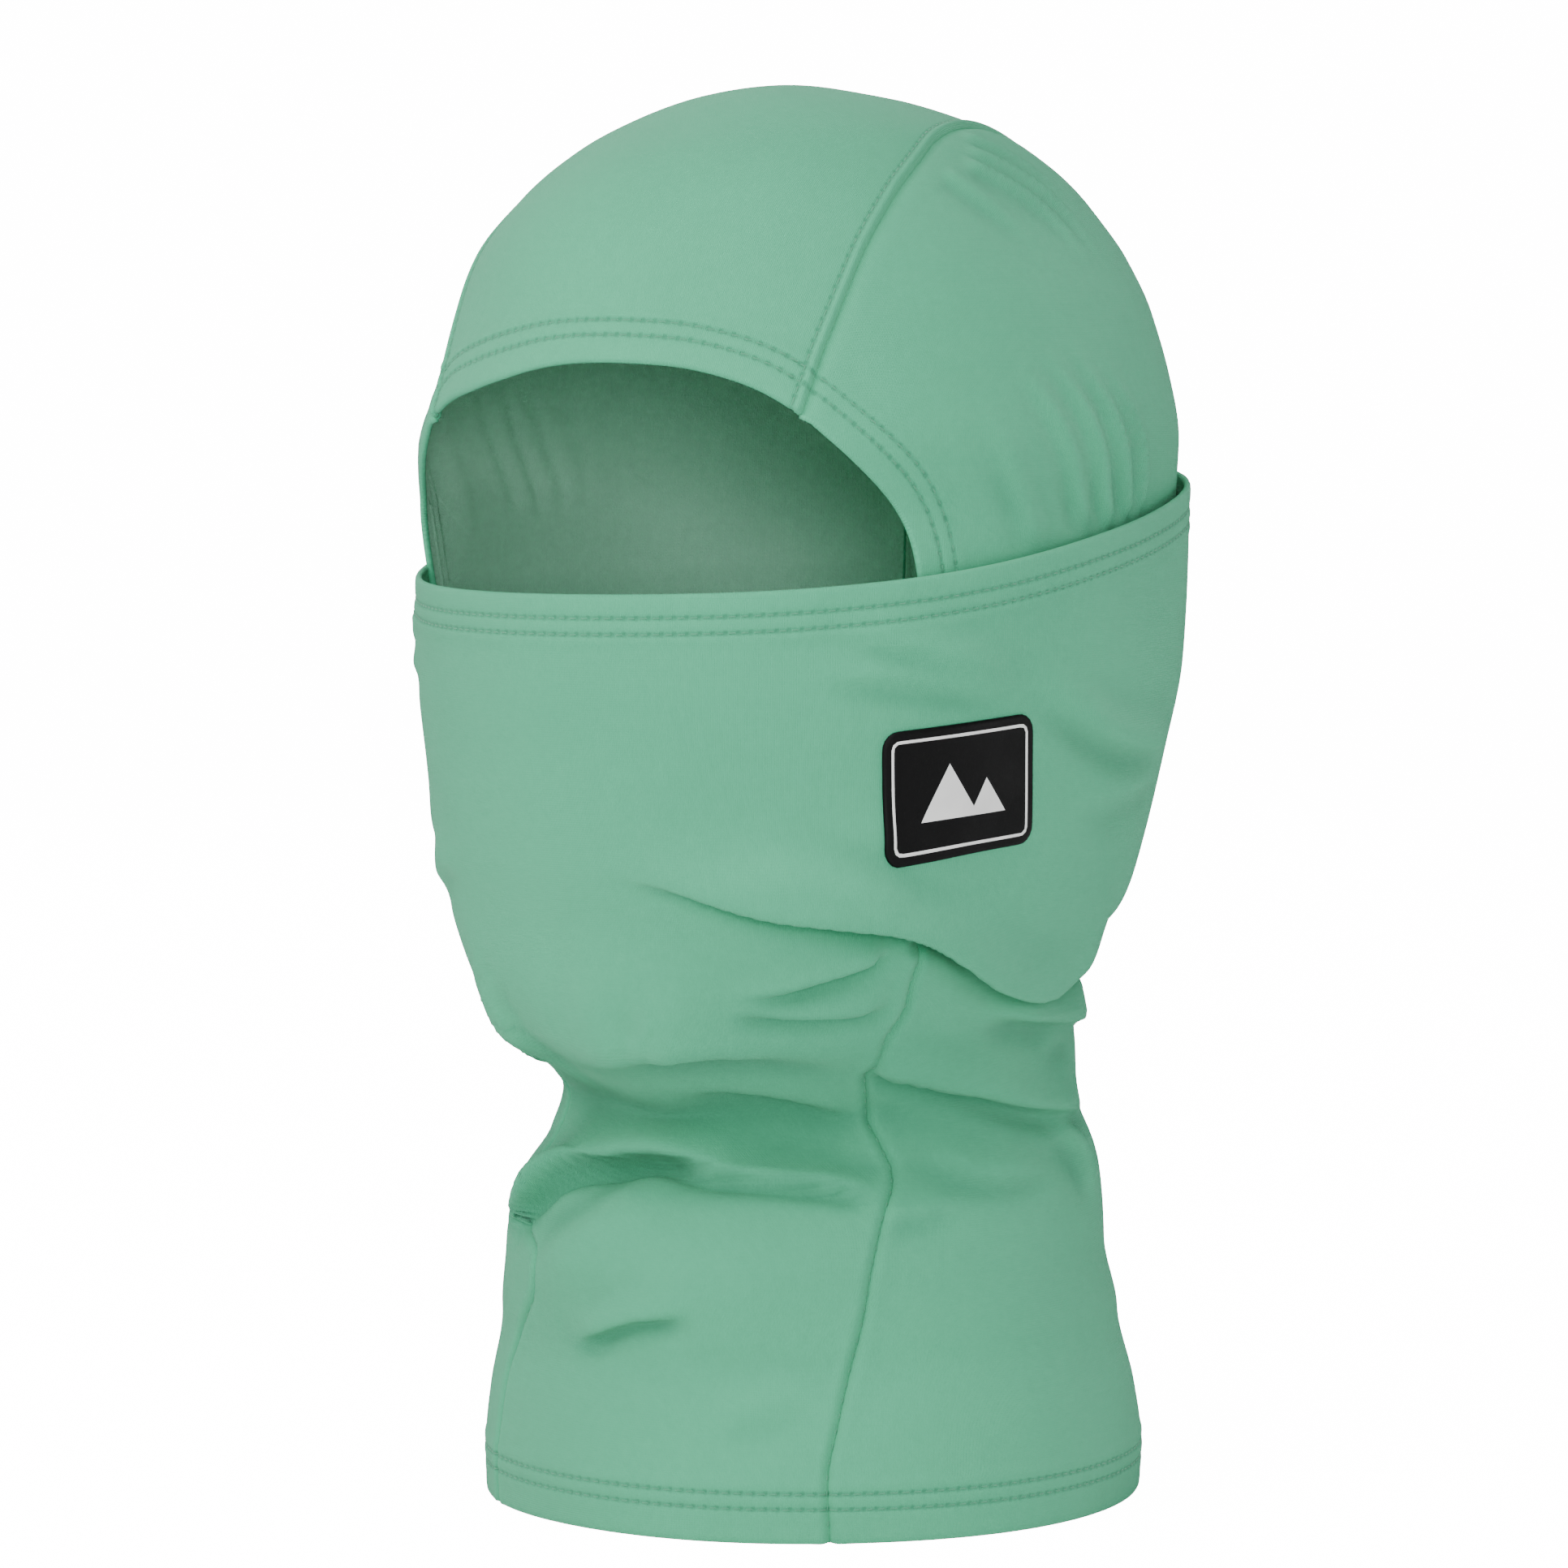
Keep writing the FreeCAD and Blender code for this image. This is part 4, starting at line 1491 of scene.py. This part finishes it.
    def build(self) -> None:
        """Makes the cloth and stitches of the tube and sets what they ride on."""
        mask = self.mask_panel()
        mask.outer = self.drape.place(mask.base)
        face = thick_cloth("mask_and_throat", mask, self.thickness(mask.base), HEM_CLOTH,
                           self.marks(mask.base))
        wear_band(face, FOOT_CLOTH, 60 * MM)
        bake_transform(face)
        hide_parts("mask_panel", "mask_gather_panel", "throat_panel")
        back = self.neck_panel()
        nape = thick_cloth("neck_back", back, self.thickness(back.base), FOOT_CLOTH, self.marks(back.base))
        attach(nape, "neck")
        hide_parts("neck_back_panel")
        self.sew(face, nape)

    def row(self, line: Trace, drop: float, part: slice = slice(None)) -> tuple[Array, Array]:
        """A stitch row at a distance below an edge, on the placed cloth."""
        base = self.form.snap(line.points[part] + line.ups[part] * drop)
        return self.drape.place(base), self.form.normals(base)

    def sew(self, face: bpy.types.Object, nape: bpy.types.Object) -> None:
        """Makes the hem and seam stitches.

        Args:
            face: the mask and throat cloth.
            nape: the neck's back cloth.
        """
        stitch = Stitching()
        rows = [self.row(self.top, -d) for d in self.mask_rows]
        mask_hem = stitch.sew("mask_hem_stitches", rows, THREAD)
        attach(mask_hem, "mask")
        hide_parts("mask_hem_stitching")
        rows = [self.row(self.foot, d) for d in self.foot_rows]
        foot = stitch.sew("foot_hem_stitches", rows, THREAD)
        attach(foot, "neck")
        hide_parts("bottom_hem_stitching")
        rows = [self.row(self.spine, d) for d in (0.9 * MM, -0.9 * MM)]
        spine = stitch.sew("mask_back_seam_stitches", rows, THREAD)
        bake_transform(spine)
        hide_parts("mask_back_seam_stitching")
        for side, name in zip(self.sides, ("left", "right")):
            piece = Stitching(pitch=3.4 * MM, length=1.5 * MM, radius=0.2 * MM).sew(
                f"neck_seam_stitches_{name}", [self.row(side, 0.0, slice(4, -3))], THREAD)
            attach(piece, "neck")
            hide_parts(f"neck_seam_stitching_{name}")
        jaw = Stitching(pitch=3.2 * MM, length=1.6 * MM, radius=0.2 * MM).sew(
            "jaw_seam_stitches", [self.row(self.jaw, 0.0, slice(4, -4))], THREAD)
        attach(jaw, "neck")
        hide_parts("jaw_seam_stitching")


def wear_band(piece: bpy.types.Object, finish: Finish, height: float) -> None:
    """Gives the faces below a height a second finish.

    Args:
        piece: the piece.
        finish: the second finish.
        height: faces with their middle below this height wear it.
    """
    piece.data.materials.append(finish.material())
    middle = np.zeros(len(piece.data.polygons) * 3)
    piece.data.polygons.foreach_get("center", middle)
    low = middle.reshape(-1, 3)[:, 2] < height
    piece.data.polygons.foreach_set("material_index", low.astype(np.int32))


@dataclass
class Hood:
    """The three-panel hood with the face opening."""

    cloth: float = 0.8 * MM
    hem_cloth: float = 1.6 * MM
    band: float = 10.2 * MM
    rows: tuple[float, float] = (5.5 * MM, 9.0 * MM)
    seam_row: float = 2.7 * MM
    sewn_in: float = 5.0 * MM
    ear: tuple[float, float, float] = (74.0, 10.0, 195.0)

    def __post_init__(self) -> None:
        """Lays out the form, the opening and the crown seams."""
        hidden = [(z, a - HOOD_INSIDE_TUBE, f + HOOD_INSIDE_TUBE, b - HOOD_INSIDE_TUBE)
                  for z, a, f, b in TUBE_LEVELS if 100.0 < z < 230.0]
        self.form = HoodForm(tuple(hidden) + CROWN_LEVELS, CROWN_TOP)
        front = flowing([(x, 0.0, z) for x, z in OPENING], 0.4) * MM
        front = self.on_front(front)
        seam = self.crown_seam()
        gaps = np.linalg.norm(front[:, None] - seam[None], axis=2)
        cut, start = np.unravel_index(gaps.argmin(), gaps.shape)
        self.brow = front[:cut + 1]
        self.cheek = front[cut:]
        self.seam = evenly(np.concatenate([front[cut:cut + 1], seam[start + 2:]]), 0.8 * MM)
        flip = np.array([-1.0, 1.0, 1.0])
        whole = np.concatenate([(front * flip)[::-1], front[1:]])
        self.opening = Trace(self.form, evenly(whole, 0.9 * MM))
        self.seams = [Trace(self.form, self.seam), Trace(self.form, self.seam * flip)]
        around = np.linspace(30.0, 330.0, 400)
        around = np.where(around > 180.0, around - 360.0, around)
        sewn_in = Seam(Trace(self.form, self.form.ring(around, jaw_height(around))), groove=self.sewn_in,
                       half=30 * MM, welt=0.0)
        bands = [Band(self.opening, self.band, self.rows)]
        self.inner = Drape(self.form, CROWN_FOLDS, bands,
                           [Seam(t, groove=0.55 * MM, half=0.8 * MM, welt=0.85 * MM, welt_at=1.35 * MM,
                                 welt_half=0.95 * MM) for t in self.seams] + [sewn_in], CROWN_TUGS)
        self.outer = Drape(self.form, CROWN_FOLDS, bands,
                           [Seam(t, groove=0.75 * MM, half=1.3 * MM, welt=0.12 * MM, welt_at=4 * MM,
                                 welt_half=2 * MM) for t in self.seams] + [sewn_in], CROWN_TUGS)

    def on_front(self, p: Array) -> Array:
        """Moves points along y onto the front of the form.

        Args:
            p: the points.

        Returns:
            The points on the form's front half.
        """
        depth, ratio, middle = self.form.measures(p[:, 2])
        made = p.copy()
        made[:, 1] = middle - np.sqrt(np.maximum(depth - ratio * p[:, 0] ** 2, 0.0))
        return made

    def crown_seam(self) -> Array:
        """The left crown seam from the brow over the head to the jaw seam at the nape.

        Returns:
            The seam's points, from front to back.
        """
        plan = np.array(CROWN_PLAN) * MM
        order = np.argsort(plan[:, 1])
        angle = np.radians(np.linspace(172.0, -48.0, 900))
        heading = np.stack([0 * angle, np.cos(angle), np.sin(angle)], -1)
        x = np.full(len(angle), 40.0 * MM)
        for _ in range(12):
            origin = np.stack([x, 0 * x, 0 * x + 0.215], -1)
            point = self.form.cast(origin, heading)
            x = 0.5 * x + 0.5 * monotone(plan[order, 1], plan[order, 0], point[:, 1])
        point[:, 0] = x
        point = self.form.snap(point)
        low = jaw_height(np.full(len(point), 160.0)) + 1.5 * MM
        return point[(point[:, 2] > low) | (point[:, 1] < 0)]

    def side_panel(self) -> Panel:
        """The left side panel, laid out in rings round the ear.

        Returns:
            The panel on the form.
        """
        start, end = self.cheek[-1], self.seam[-1]
        turn = np.linspace(self.form.turn_of(start), self.form.turn_of(end), 160)[1:-1]
        z = np.interp(np.linspace(0, 1, len(turn)), [0, 0.12, 1], [start[2], 0.126, end[2]])
        jaw = np.concatenate([start[None], self.form.ring(turn, z), end[None]])
        loop = np.concatenate([evenly(self.cheek, 1.5 * MM), evenly(jaw, 2.2 * MM)[1:],
                               evenly(self.seam[::-1], 1.5 * MM)[1:]])
        ear = np.array(self.ear) * MM
        rings = graded(80 * MM, 1.55 * MM, 0.62 * MM, 0.0, 11 * MM)
        rings = rings[rings > 0.01]
        base = ear + (loop[None] - ear) * rings[:, None, None]
        base = self.form.snap(base.reshape(-1, 3))
        base = base.reshape(len(rings), len(loop), 3)
        base[-1] = loop
        base = base.reshape(-1, 3)
        quads = grid(len(rings), len(loop))[:, ::-1]
        middle = self.form.snap(ear[None])
        hub = len(base)
        base = np.concatenate([base, middle])
        a = np.arange(len(loop) - 1)
        quads = np.concatenate([quads, np.stack([0 * a + hub, a, a + 1, a + 1], -1)])
        weave = np.stack([base[:, 1], base[:, 2]], -1)
        return Panel(base, quads, weave)

    def centre_panel(self) -> Panel:
        """The strip over the head between the crown seams.

        Returns:
            The panel on the form.
        """
        length = np.linalg.norm(np.diff(self.seam, axis=0), axis=1).sum()
        rows = graded(length, 1.6 * MM, 0.7 * MM, 12 * MM, 0.0)
        across = graded(96 * MM, 1.6 * MM, 0.42 * MM, 4.2 * MM, 4.2 * MM)
        line = evenly(self.seam, count=2001)[np.round(rows * 2000).astype(int)]
        flip = np.array([-1.0, 1.0, 1.0])
        brow = np.concatenate([(self.brow * flip)[::-1], self.brow[1:]])
        brow = evenly(brow, count=2001)[np.round(across * 2000).astype(int)]
        flat = line[:, None] * flip + (line - line * flip)[:, None] * across[None, :, None]
        first = brow - flat[0]
        fade = 1 - smooth(rows * length / (70 * MM))
        base = flat + first[None] * fade[:, None, None]
        base = self.form.snap(base.reshape(-1, 3)).reshape(base.shape)
        base[0] = brow
        base[:, 0], base[:, -1] = line * flip, line
        weave = np.stack(np.broadcast_arrays((across - 0.5)[None] * 0.09, (rows * length)[:, None]), -1)
        return Panel(base.reshape(-1, 3), grid(len(rows), len(across)), weave.reshape(-1, 2))

    def thickness(self, base: Array) -> Array:
        """Cloth thickness, doubled in the hem."""
        near = 1 - smooth((self.opening.measure(base)[2] - self.band) / MM)
        return self.cloth + (self.hem_cloth - self.cloth) * near

    def marks(self, base: Array, rows: bool) -> dict[str, Array]:
        """Distances that the knit finish reads for its needle rows.

        Args:
            base: points on the form.
            rows: whether the crown seams' needle rows show.

        Returns:
            The values at each point, by mark.
        """
        hem = self.opening.measure(base)
        left, right = (t.measure(base) for t in self.seams)
        first = left[2] < right[2]
        across = np.where(first, left[2], right[2]) if rows else np.full(len(base), 0.1)
        return {"hem_across": hem[2], "hem_along": hem[1], "seam_across": across,
                "seam_along": np.where(first, left[1], right[1])}

    def blend(self, piece: bpy.types.Object) -> None:
        """Bakes a piece's placement into its points."""
        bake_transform(piece)

    def build(self) -> None:
        """Makes the cloth and stitches of the hood."""
        centre = self.centre_panel()
        centre.outer = self.inner.place(centre.base)
        top = thick_cloth("crown_centre", centre, self.thickness(centre.base), HOOD_CLOTH,
                          self.marks(centre.base, True), HOOD_LINING_PAINTED_LIGHT)
        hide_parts("crown_centre_panel")
        side = self.side_panel()
        panels = []
        for name, panel in (("left", side), ("right", side.mirrored())):
            panel.outer = self.outer.place(panel.base)
            piece = thick_cloth(f"crown_side_{name}", panel, self.thickness(panel.base), HOOD_CLOTH,
                                self.marks(panel.base, False), HOOD_LINING_PAINTED_LIGHT)
            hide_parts(f"crown_side_panel_{name}")
            panels.append(piece)
        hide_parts("hood_lower_panel")
        stitches = self.sew()
        for piece in [top, *panels]:
            self.blend(piece)

    def row(self, drape: Drape, line: Trace, shift: float) -> tuple[Array, Array]:
        """A stitch row beside a line, on the placed cloth."""
        base = self.form.snap(line.points + line.ups * shift)
        return drape.place(base), self.form.normals(base)

    def sew(self) -> list[bpy.types.Object]:
        """Makes the opening's and crown seams' stitches.

        Returns:
            The stitch pieces.
        """
        stitch = Stitching()
        made = []
        sign = 1.0 if self.opening.ups[len(self.opening.points) // 2, 2] > 0 else -1.0
        rows = [self.row(self.outer, self.opening, sign * d) for d in self.rows]
        piece = stitch.sew("face_opening_stitches", rows, THREAD)
        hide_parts("face_opening_stitching")
        made.append(piece)
        for name, trace in zip(("left", "right"), self.seams):
            middle = len(trace.points) // 2
            inward = -np.sign(trace.points[middle, 0] * trace.ups[middle, 0])
            row = self.row(self.inner, trace, inward * self.seam_row)
            piece = stitch.sew(f"crown_seam_stitches_{name}", [row], THREAD)
            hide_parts(f"crown_seam_stitching_{name}")
            made.append(piece)
        for piece in made:
            self.blend(piece)
        return made


@dataclass
class CheekLabel:
    """The moulded label on the left cheek: a rounded plate with a fine frame and two plain peaks."""

    width: float = 40.5 * MM
    height: float = 29.0 * MM
    corner: float = 4.0 * MM
    thick: float = 0.9 * MM
    centre: tuple[float, float] = (63.2, 166.0)
    lean: float = 5.0

    def outline(self, inset: float, count: int = 96) -> Array:
        """The plate's rounded outline in its own plane, drawn in by inset.

        Args:
            inset: distance from the plate's edge.
            count: number of points.

        Returns:
            The outline's points.
        """
        half_w, half_h = self.width / 2 - inset, self.height / 2 - inset
        r = max(self.corner - inset, 0.4 * MM)
        arcs = []
        for k, (sx, sy) in enumerate(((1, 1), (-1, 1), (-1, -1), (1, -1))):
            a = np.linspace(0.0, math.pi / 2, 10) + k * math.pi / 2
            arcs.append(np.stack([sx * (half_w - r) + r * np.cos(a), sy * (half_h - r) + r * np.sin(a)], -1))
        loop = np.concatenate(arcs + [arcs[0][:1]])
        return evenly(loop, count=count + 1)[:-1]

    def on_cheek(self, drape: Drape, flat: Array, rise: Array) -> Array:
        """Lays points of the label's plane on the cheek, risen off it.

        Args:
            drape: the cloth that the label sits on.
            flat: points in the label's plane.
            rise: their height off the cloth.

        Returns:
            The placed points.
        """
        middle = drape.form.ring(np.array([self.centre[0]]), np.array([self.centre[1] * MM]))
        out = drape.form.normals(middle)[0]
        side = unit(np.cross(np.array([0.0, 0.0, 1.0]), out))
        up = np.cross(out, side)
        a = math.radians(self.lean)
        u, v = side * math.cos(a) + up * math.sin(a), up * math.cos(a) - side * math.sin(a)
        p = middle + flat[:, :1] * u + flat[:, 1:] * v
        base = drape.form.snap(p)
        return drape.place(base) + drape.form.normals(base) * rise[:, None]

    def plate(self, drape: Drape) -> bpy.types.Object:
        """The plate with a rounded rim and a shallow raised border.

        Args:
            drape: the cloth that the label sits on.

        Returns:
            The piece.
        """
        rim, face = [0.5, 0.12, 0.0, 0.12, 0.45], [1.2, 1.5, 2.2, 3.2, 4.6, 6.4, 8.4, 10.4, 12.2, 13.6]
        rises = np.array([-0.7, -0.2, 0.25, 0.62, 0.86] + [0.9] * len(face)) * MM
        return self.rings("cheek_label_plate", drape, np.array(rim + face) * MM, rises, LABEL_RUBBER)

    def rings(self, name: str, drape: Drape, insets: Array, rises: Array,
              finish: Finish) -> bpy.types.Object:
        """A skin through outlines at growing insets, closed in the middle.

        Args:
            name: the piece's name.
            drape: the cloth that the label sits on.
            insets: inset of each outline.
            rises: height of each outline.
            finish: the piece's finish.

        Returns:
            The piece.
        """
        loops = [self.outline(i) for i in insets]
        number = len(loops[0])
        flat = np.concatenate(loops + [np.zeros((1, 2))])
        rise = np.concatenate([np.repeat(rises, number), rises[-1:]])
        faces = []
        for k in range(len(loops) - 1):
            for s in range(number):
                a, b = k * number + s, k * number + (s + 1) % number
                faces.append([a, b, b + number, a + number])
        last = (len(loops) - 1) * number
        faces += [[last + s, last + (s + 1) % number, len(flat) - 1] for s in range(number)]
        return make_mesh(name, self.on_cheek(drape, flat, rise), faces, finish)

    def frame_line(self, drape: Drape) -> tuple[Array, list[list[int]]]:
        """The thin printed frame.

        Args:
            drape: the cloth that the label sits on.

        Returns:
            Its points and faces.
        """
        insets = np.array([2.05, 2.1, 2.7, 2.75]) * MM
        rises = np.array([0.88, 0.96, 0.96, 0.88]) * MM
        loops = [self.outline(i) for i in insets]
        number = len(loops[0])
        faces = [[k * number + s, k * number + t, (k + 1) * number + t, (k + 1) * number + s]
                 for k in range(3) for s in range(number) for t in [(s + 1) % number]]
        return self.on_cheek(drape, np.concatenate(loops), np.repeat(rises, number)), faces

    def peaks(self, drape: Drape) -> tuple[Array, list[list[int]]]:
        """Two plain printed mountain peaks.

        Args:
            drape: the cloth that the label sits on.

        Returns:
            Their points and faces.
        """
        points, faces = [], []
        for left, top, right, low, high in ((-11.0, -3.5, 4.0, -6.0, 6.2), (1.6, 6.2, 11.4, -6.0, 2.0)):
            steps = 14
            for k in range(steps):
                a, b = k / steps, (k + 1) / steps
                rows = [(left + (top - left) * a, right + (top - right) * a, low + (high - low) * a),
                        (left + (top - left) * b, right + (top - right) * b, low + (high - low) * b)]
                for x0, x1, z in rows:
                    for x in np.linspace(x0, x1, 9):
                        points.append((x * MM, z * MM))
                start = len(points) - 18
                faces += [[start + s, start + s + 1, start + s + 10, start + s + 9] for s in range(8)]
        flat = np.array(points)
        return self.on_cheek(drape, flat, np.full(len(flat), 0.96 * MM)), faces

    def build(self, drape: Drape) -> list[bpy.types.Object]:
        """Makes the plate and its print, riding on the mask.

        Args:
            drape: the cloth that the label sits on.

        Returns:
            Both pieces.
        """
        plate = self.plate(drape)
        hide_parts("cheek_label")
        frame_points, frame_faces = self.frame_line(drape)
        peak_points, peak_faces = self.peaks(drape)
        faces = frame_faces + [[v + len(frame_points) for v in f] for f in peak_faces]
        ink = make_mesh("cheek_label_ink", np.concatenate([frame_points, peak_points]), faces, LABEL_INK)
        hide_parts("cheek_label_print")
        for piece in (plate, ink):
            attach(piece, "mask")
        return [plate, ink]


@dataclass
class CareLabel:
    """A folded woven tape sewn inside the nape, low in the neck."""

    width: float = 24.0 * MM
    low: float = 16.0 * MM
    high: float = 42.0 * MM
    gap: float = 1.9 * MM

    def build(self, form: HeadForm) -> None:
        """Makes the tape as a closed thin loop that hangs just inside the cloth.

        Args:
            form: the form of the tube.
        """
        columns, rows = 17, 26
        x = np.linspace(-self.width / 2, self.width / 2, columns)
        z = np.linspace(self.high, self.low, rows)
        depth, ratio, middle = form.measures(np.repeat(z, columns))
        flat = np.tile(x, rows)
        y = middle + np.sqrt(depth - ratio * flat ** 2) - self.gap
        sag = 0.25 * MM * np.sin(np.repeat(np.linspace(0, 3.0, rows), columns)) * np.cos(flat / (7 * MM))
        front = np.stack([flat, y - sag, np.repeat(z, columns)], -1)
        panel = Panel(front, grid(rows, columns), front[:, [0, 2]])
        panel.outer = front
        tape = thick_cloth("care_label_tape", panel, np.full(len(front), 0.45 * MM), TAPE, {})
        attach(tape, "neck")
        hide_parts("care_label")


# ---- studio ---------------------------------------------------------------------------------------------
@dataclass
class Studio:
    """Pale floor and backdrop, soft light and the camera."""

    turn: float = 33.0
    distance: float = 1.4
    side: float = -4.63 * MM
    eye: float = 0.255
    aim: float = 0.162
    lens: float = 140.9
    centre_y: float = -1.75 * MM

    def ground(self) -> None:
        """A pale floor that curves up into a backdrop behind the object."""
        a = np.linspace(0.0, math.pi / 2, 16)
        bend = [(2.4 + 1.2 * math.sin(t), 1.2 - 1.2 * math.cos(t)) for t in a[1:]]
        profile = [(-4.0, 0.0), (2.4, 0.0)] + bend
        profile.append((3.6, 6.0))
        turn = math.radians(self.turn)
        points = [(w * math.cos(turn) - d * math.sin(turn), w * math.sin(turn) + d * math.cos(turn), z)
                  for d, z in profile for w in (-7.0, 7.0)]
        faces = [[2 * k, 2 * k + 1, 2 * k + 3, 2 * k + 2] for k in range(len(profile) - 1)]
        paper = Paper("studio paper", Colour.STUDIO.value, 0.9)
        floor = make_mesh("studio_floor", np.array(points), faces, paper)

    def light(self, name: str, turn: float, height: float, far: float, size: float, power: float) -> None:
        """A square soft light at a turn from the camera's side, aimed at the object.

        Args:
            name: the light's name.
            turn: its turn from the camera, in degrees.
            height: its height.
            far: its distance from the middle.
            size: its width.
            power: its power in watts.
        """
        lamp = bpy.data.lights.new(name, "AREA")
        lamp.shape, lamp.size, lamp.energy = "SQUARE", size, power
        made = bpy.data.objects.new(name, lamp)
        a = math.radians(self.turn + turn)
        made.location = (far * math.sin(a), -far * math.cos(a), height)
        made.rotation_euler = (Vector((0, 0, 0.17)) - made.location).to_track_quat("-Z", "Y").to_euler()
        bpy.context.scene.collection.objects.link(made)

    def camera(self) -> None:
        """The camera, level, a little above the chin and turned towards the left cheek."""
        turn = math.radians(self.turn)
        across = Vector((math.cos(turn), math.sin(turn), 0.0)) * self.side + Vector((0, self.centre_y, 0))
        back = Vector((math.sin(turn), -math.cos(turn), 0.0)) * self.distance
        lens = bpy.data.cameras.new("camera")
        lens.lens, lens.sensor_width = self.lens, 36.0
        made = bpy.data.objects.new("camera", lens)
        made.location = across + back + Vector((0, 0, self.eye))
        aim = across + Vector((0, 0, self.aim))
        made.rotation_euler = (aim - made.location).to_track_quat("-Z", "Y").to_euler()
        bpy.context.scene.collection.objects.link(made)
        bpy.context.scene.camera = made

    def build(self) -> None:
        """Sets up the whole studio."""
        self.ground()
        world = bpy.data.worlds.new("studio")
        world.use_nodes = True
        world.node_tree.nodes["Background"].inputs[0].default_value = (1.0, 1.0, 1.0, 1.0)
        n = Nodes(world.node_tree)
        seen = n.add("ShaderNodeLightPath").outputs["Is Camera Ray"]
        strength = n.ramp(seen, 0.0, 1.0, 0.36, 15.0)
        n.join(strength, world.node_tree.nodes["Background"].inputs[1])
        bpy.context.scene.world = world
        self.light("key light", -50.0, 1.0, 1.5, 0.8, 17.0)
        self.light("front light", 2.0, 0.40, 1.75, 0.4, 12.5)
        self.light("top light", -14.0, 2.0, 0.7, 0.8, 20.0)
        self.light("side light", 80.0, 0.35, 1.8, 0.6, 5.5)
        self.light("back light", 195.0, 1.1, 1.8, 1.0, 9.0)
        self.camera()


def main() -> None:
    """Builds the balaclava and its studio."""
    tube = Tube()
    tube.build()
    Hood().build()
    CheekLabel().build(tube.drape)
    CareLabel().build(tube.form)
    Studio().build()


if __name__ == "__main__":
    main()
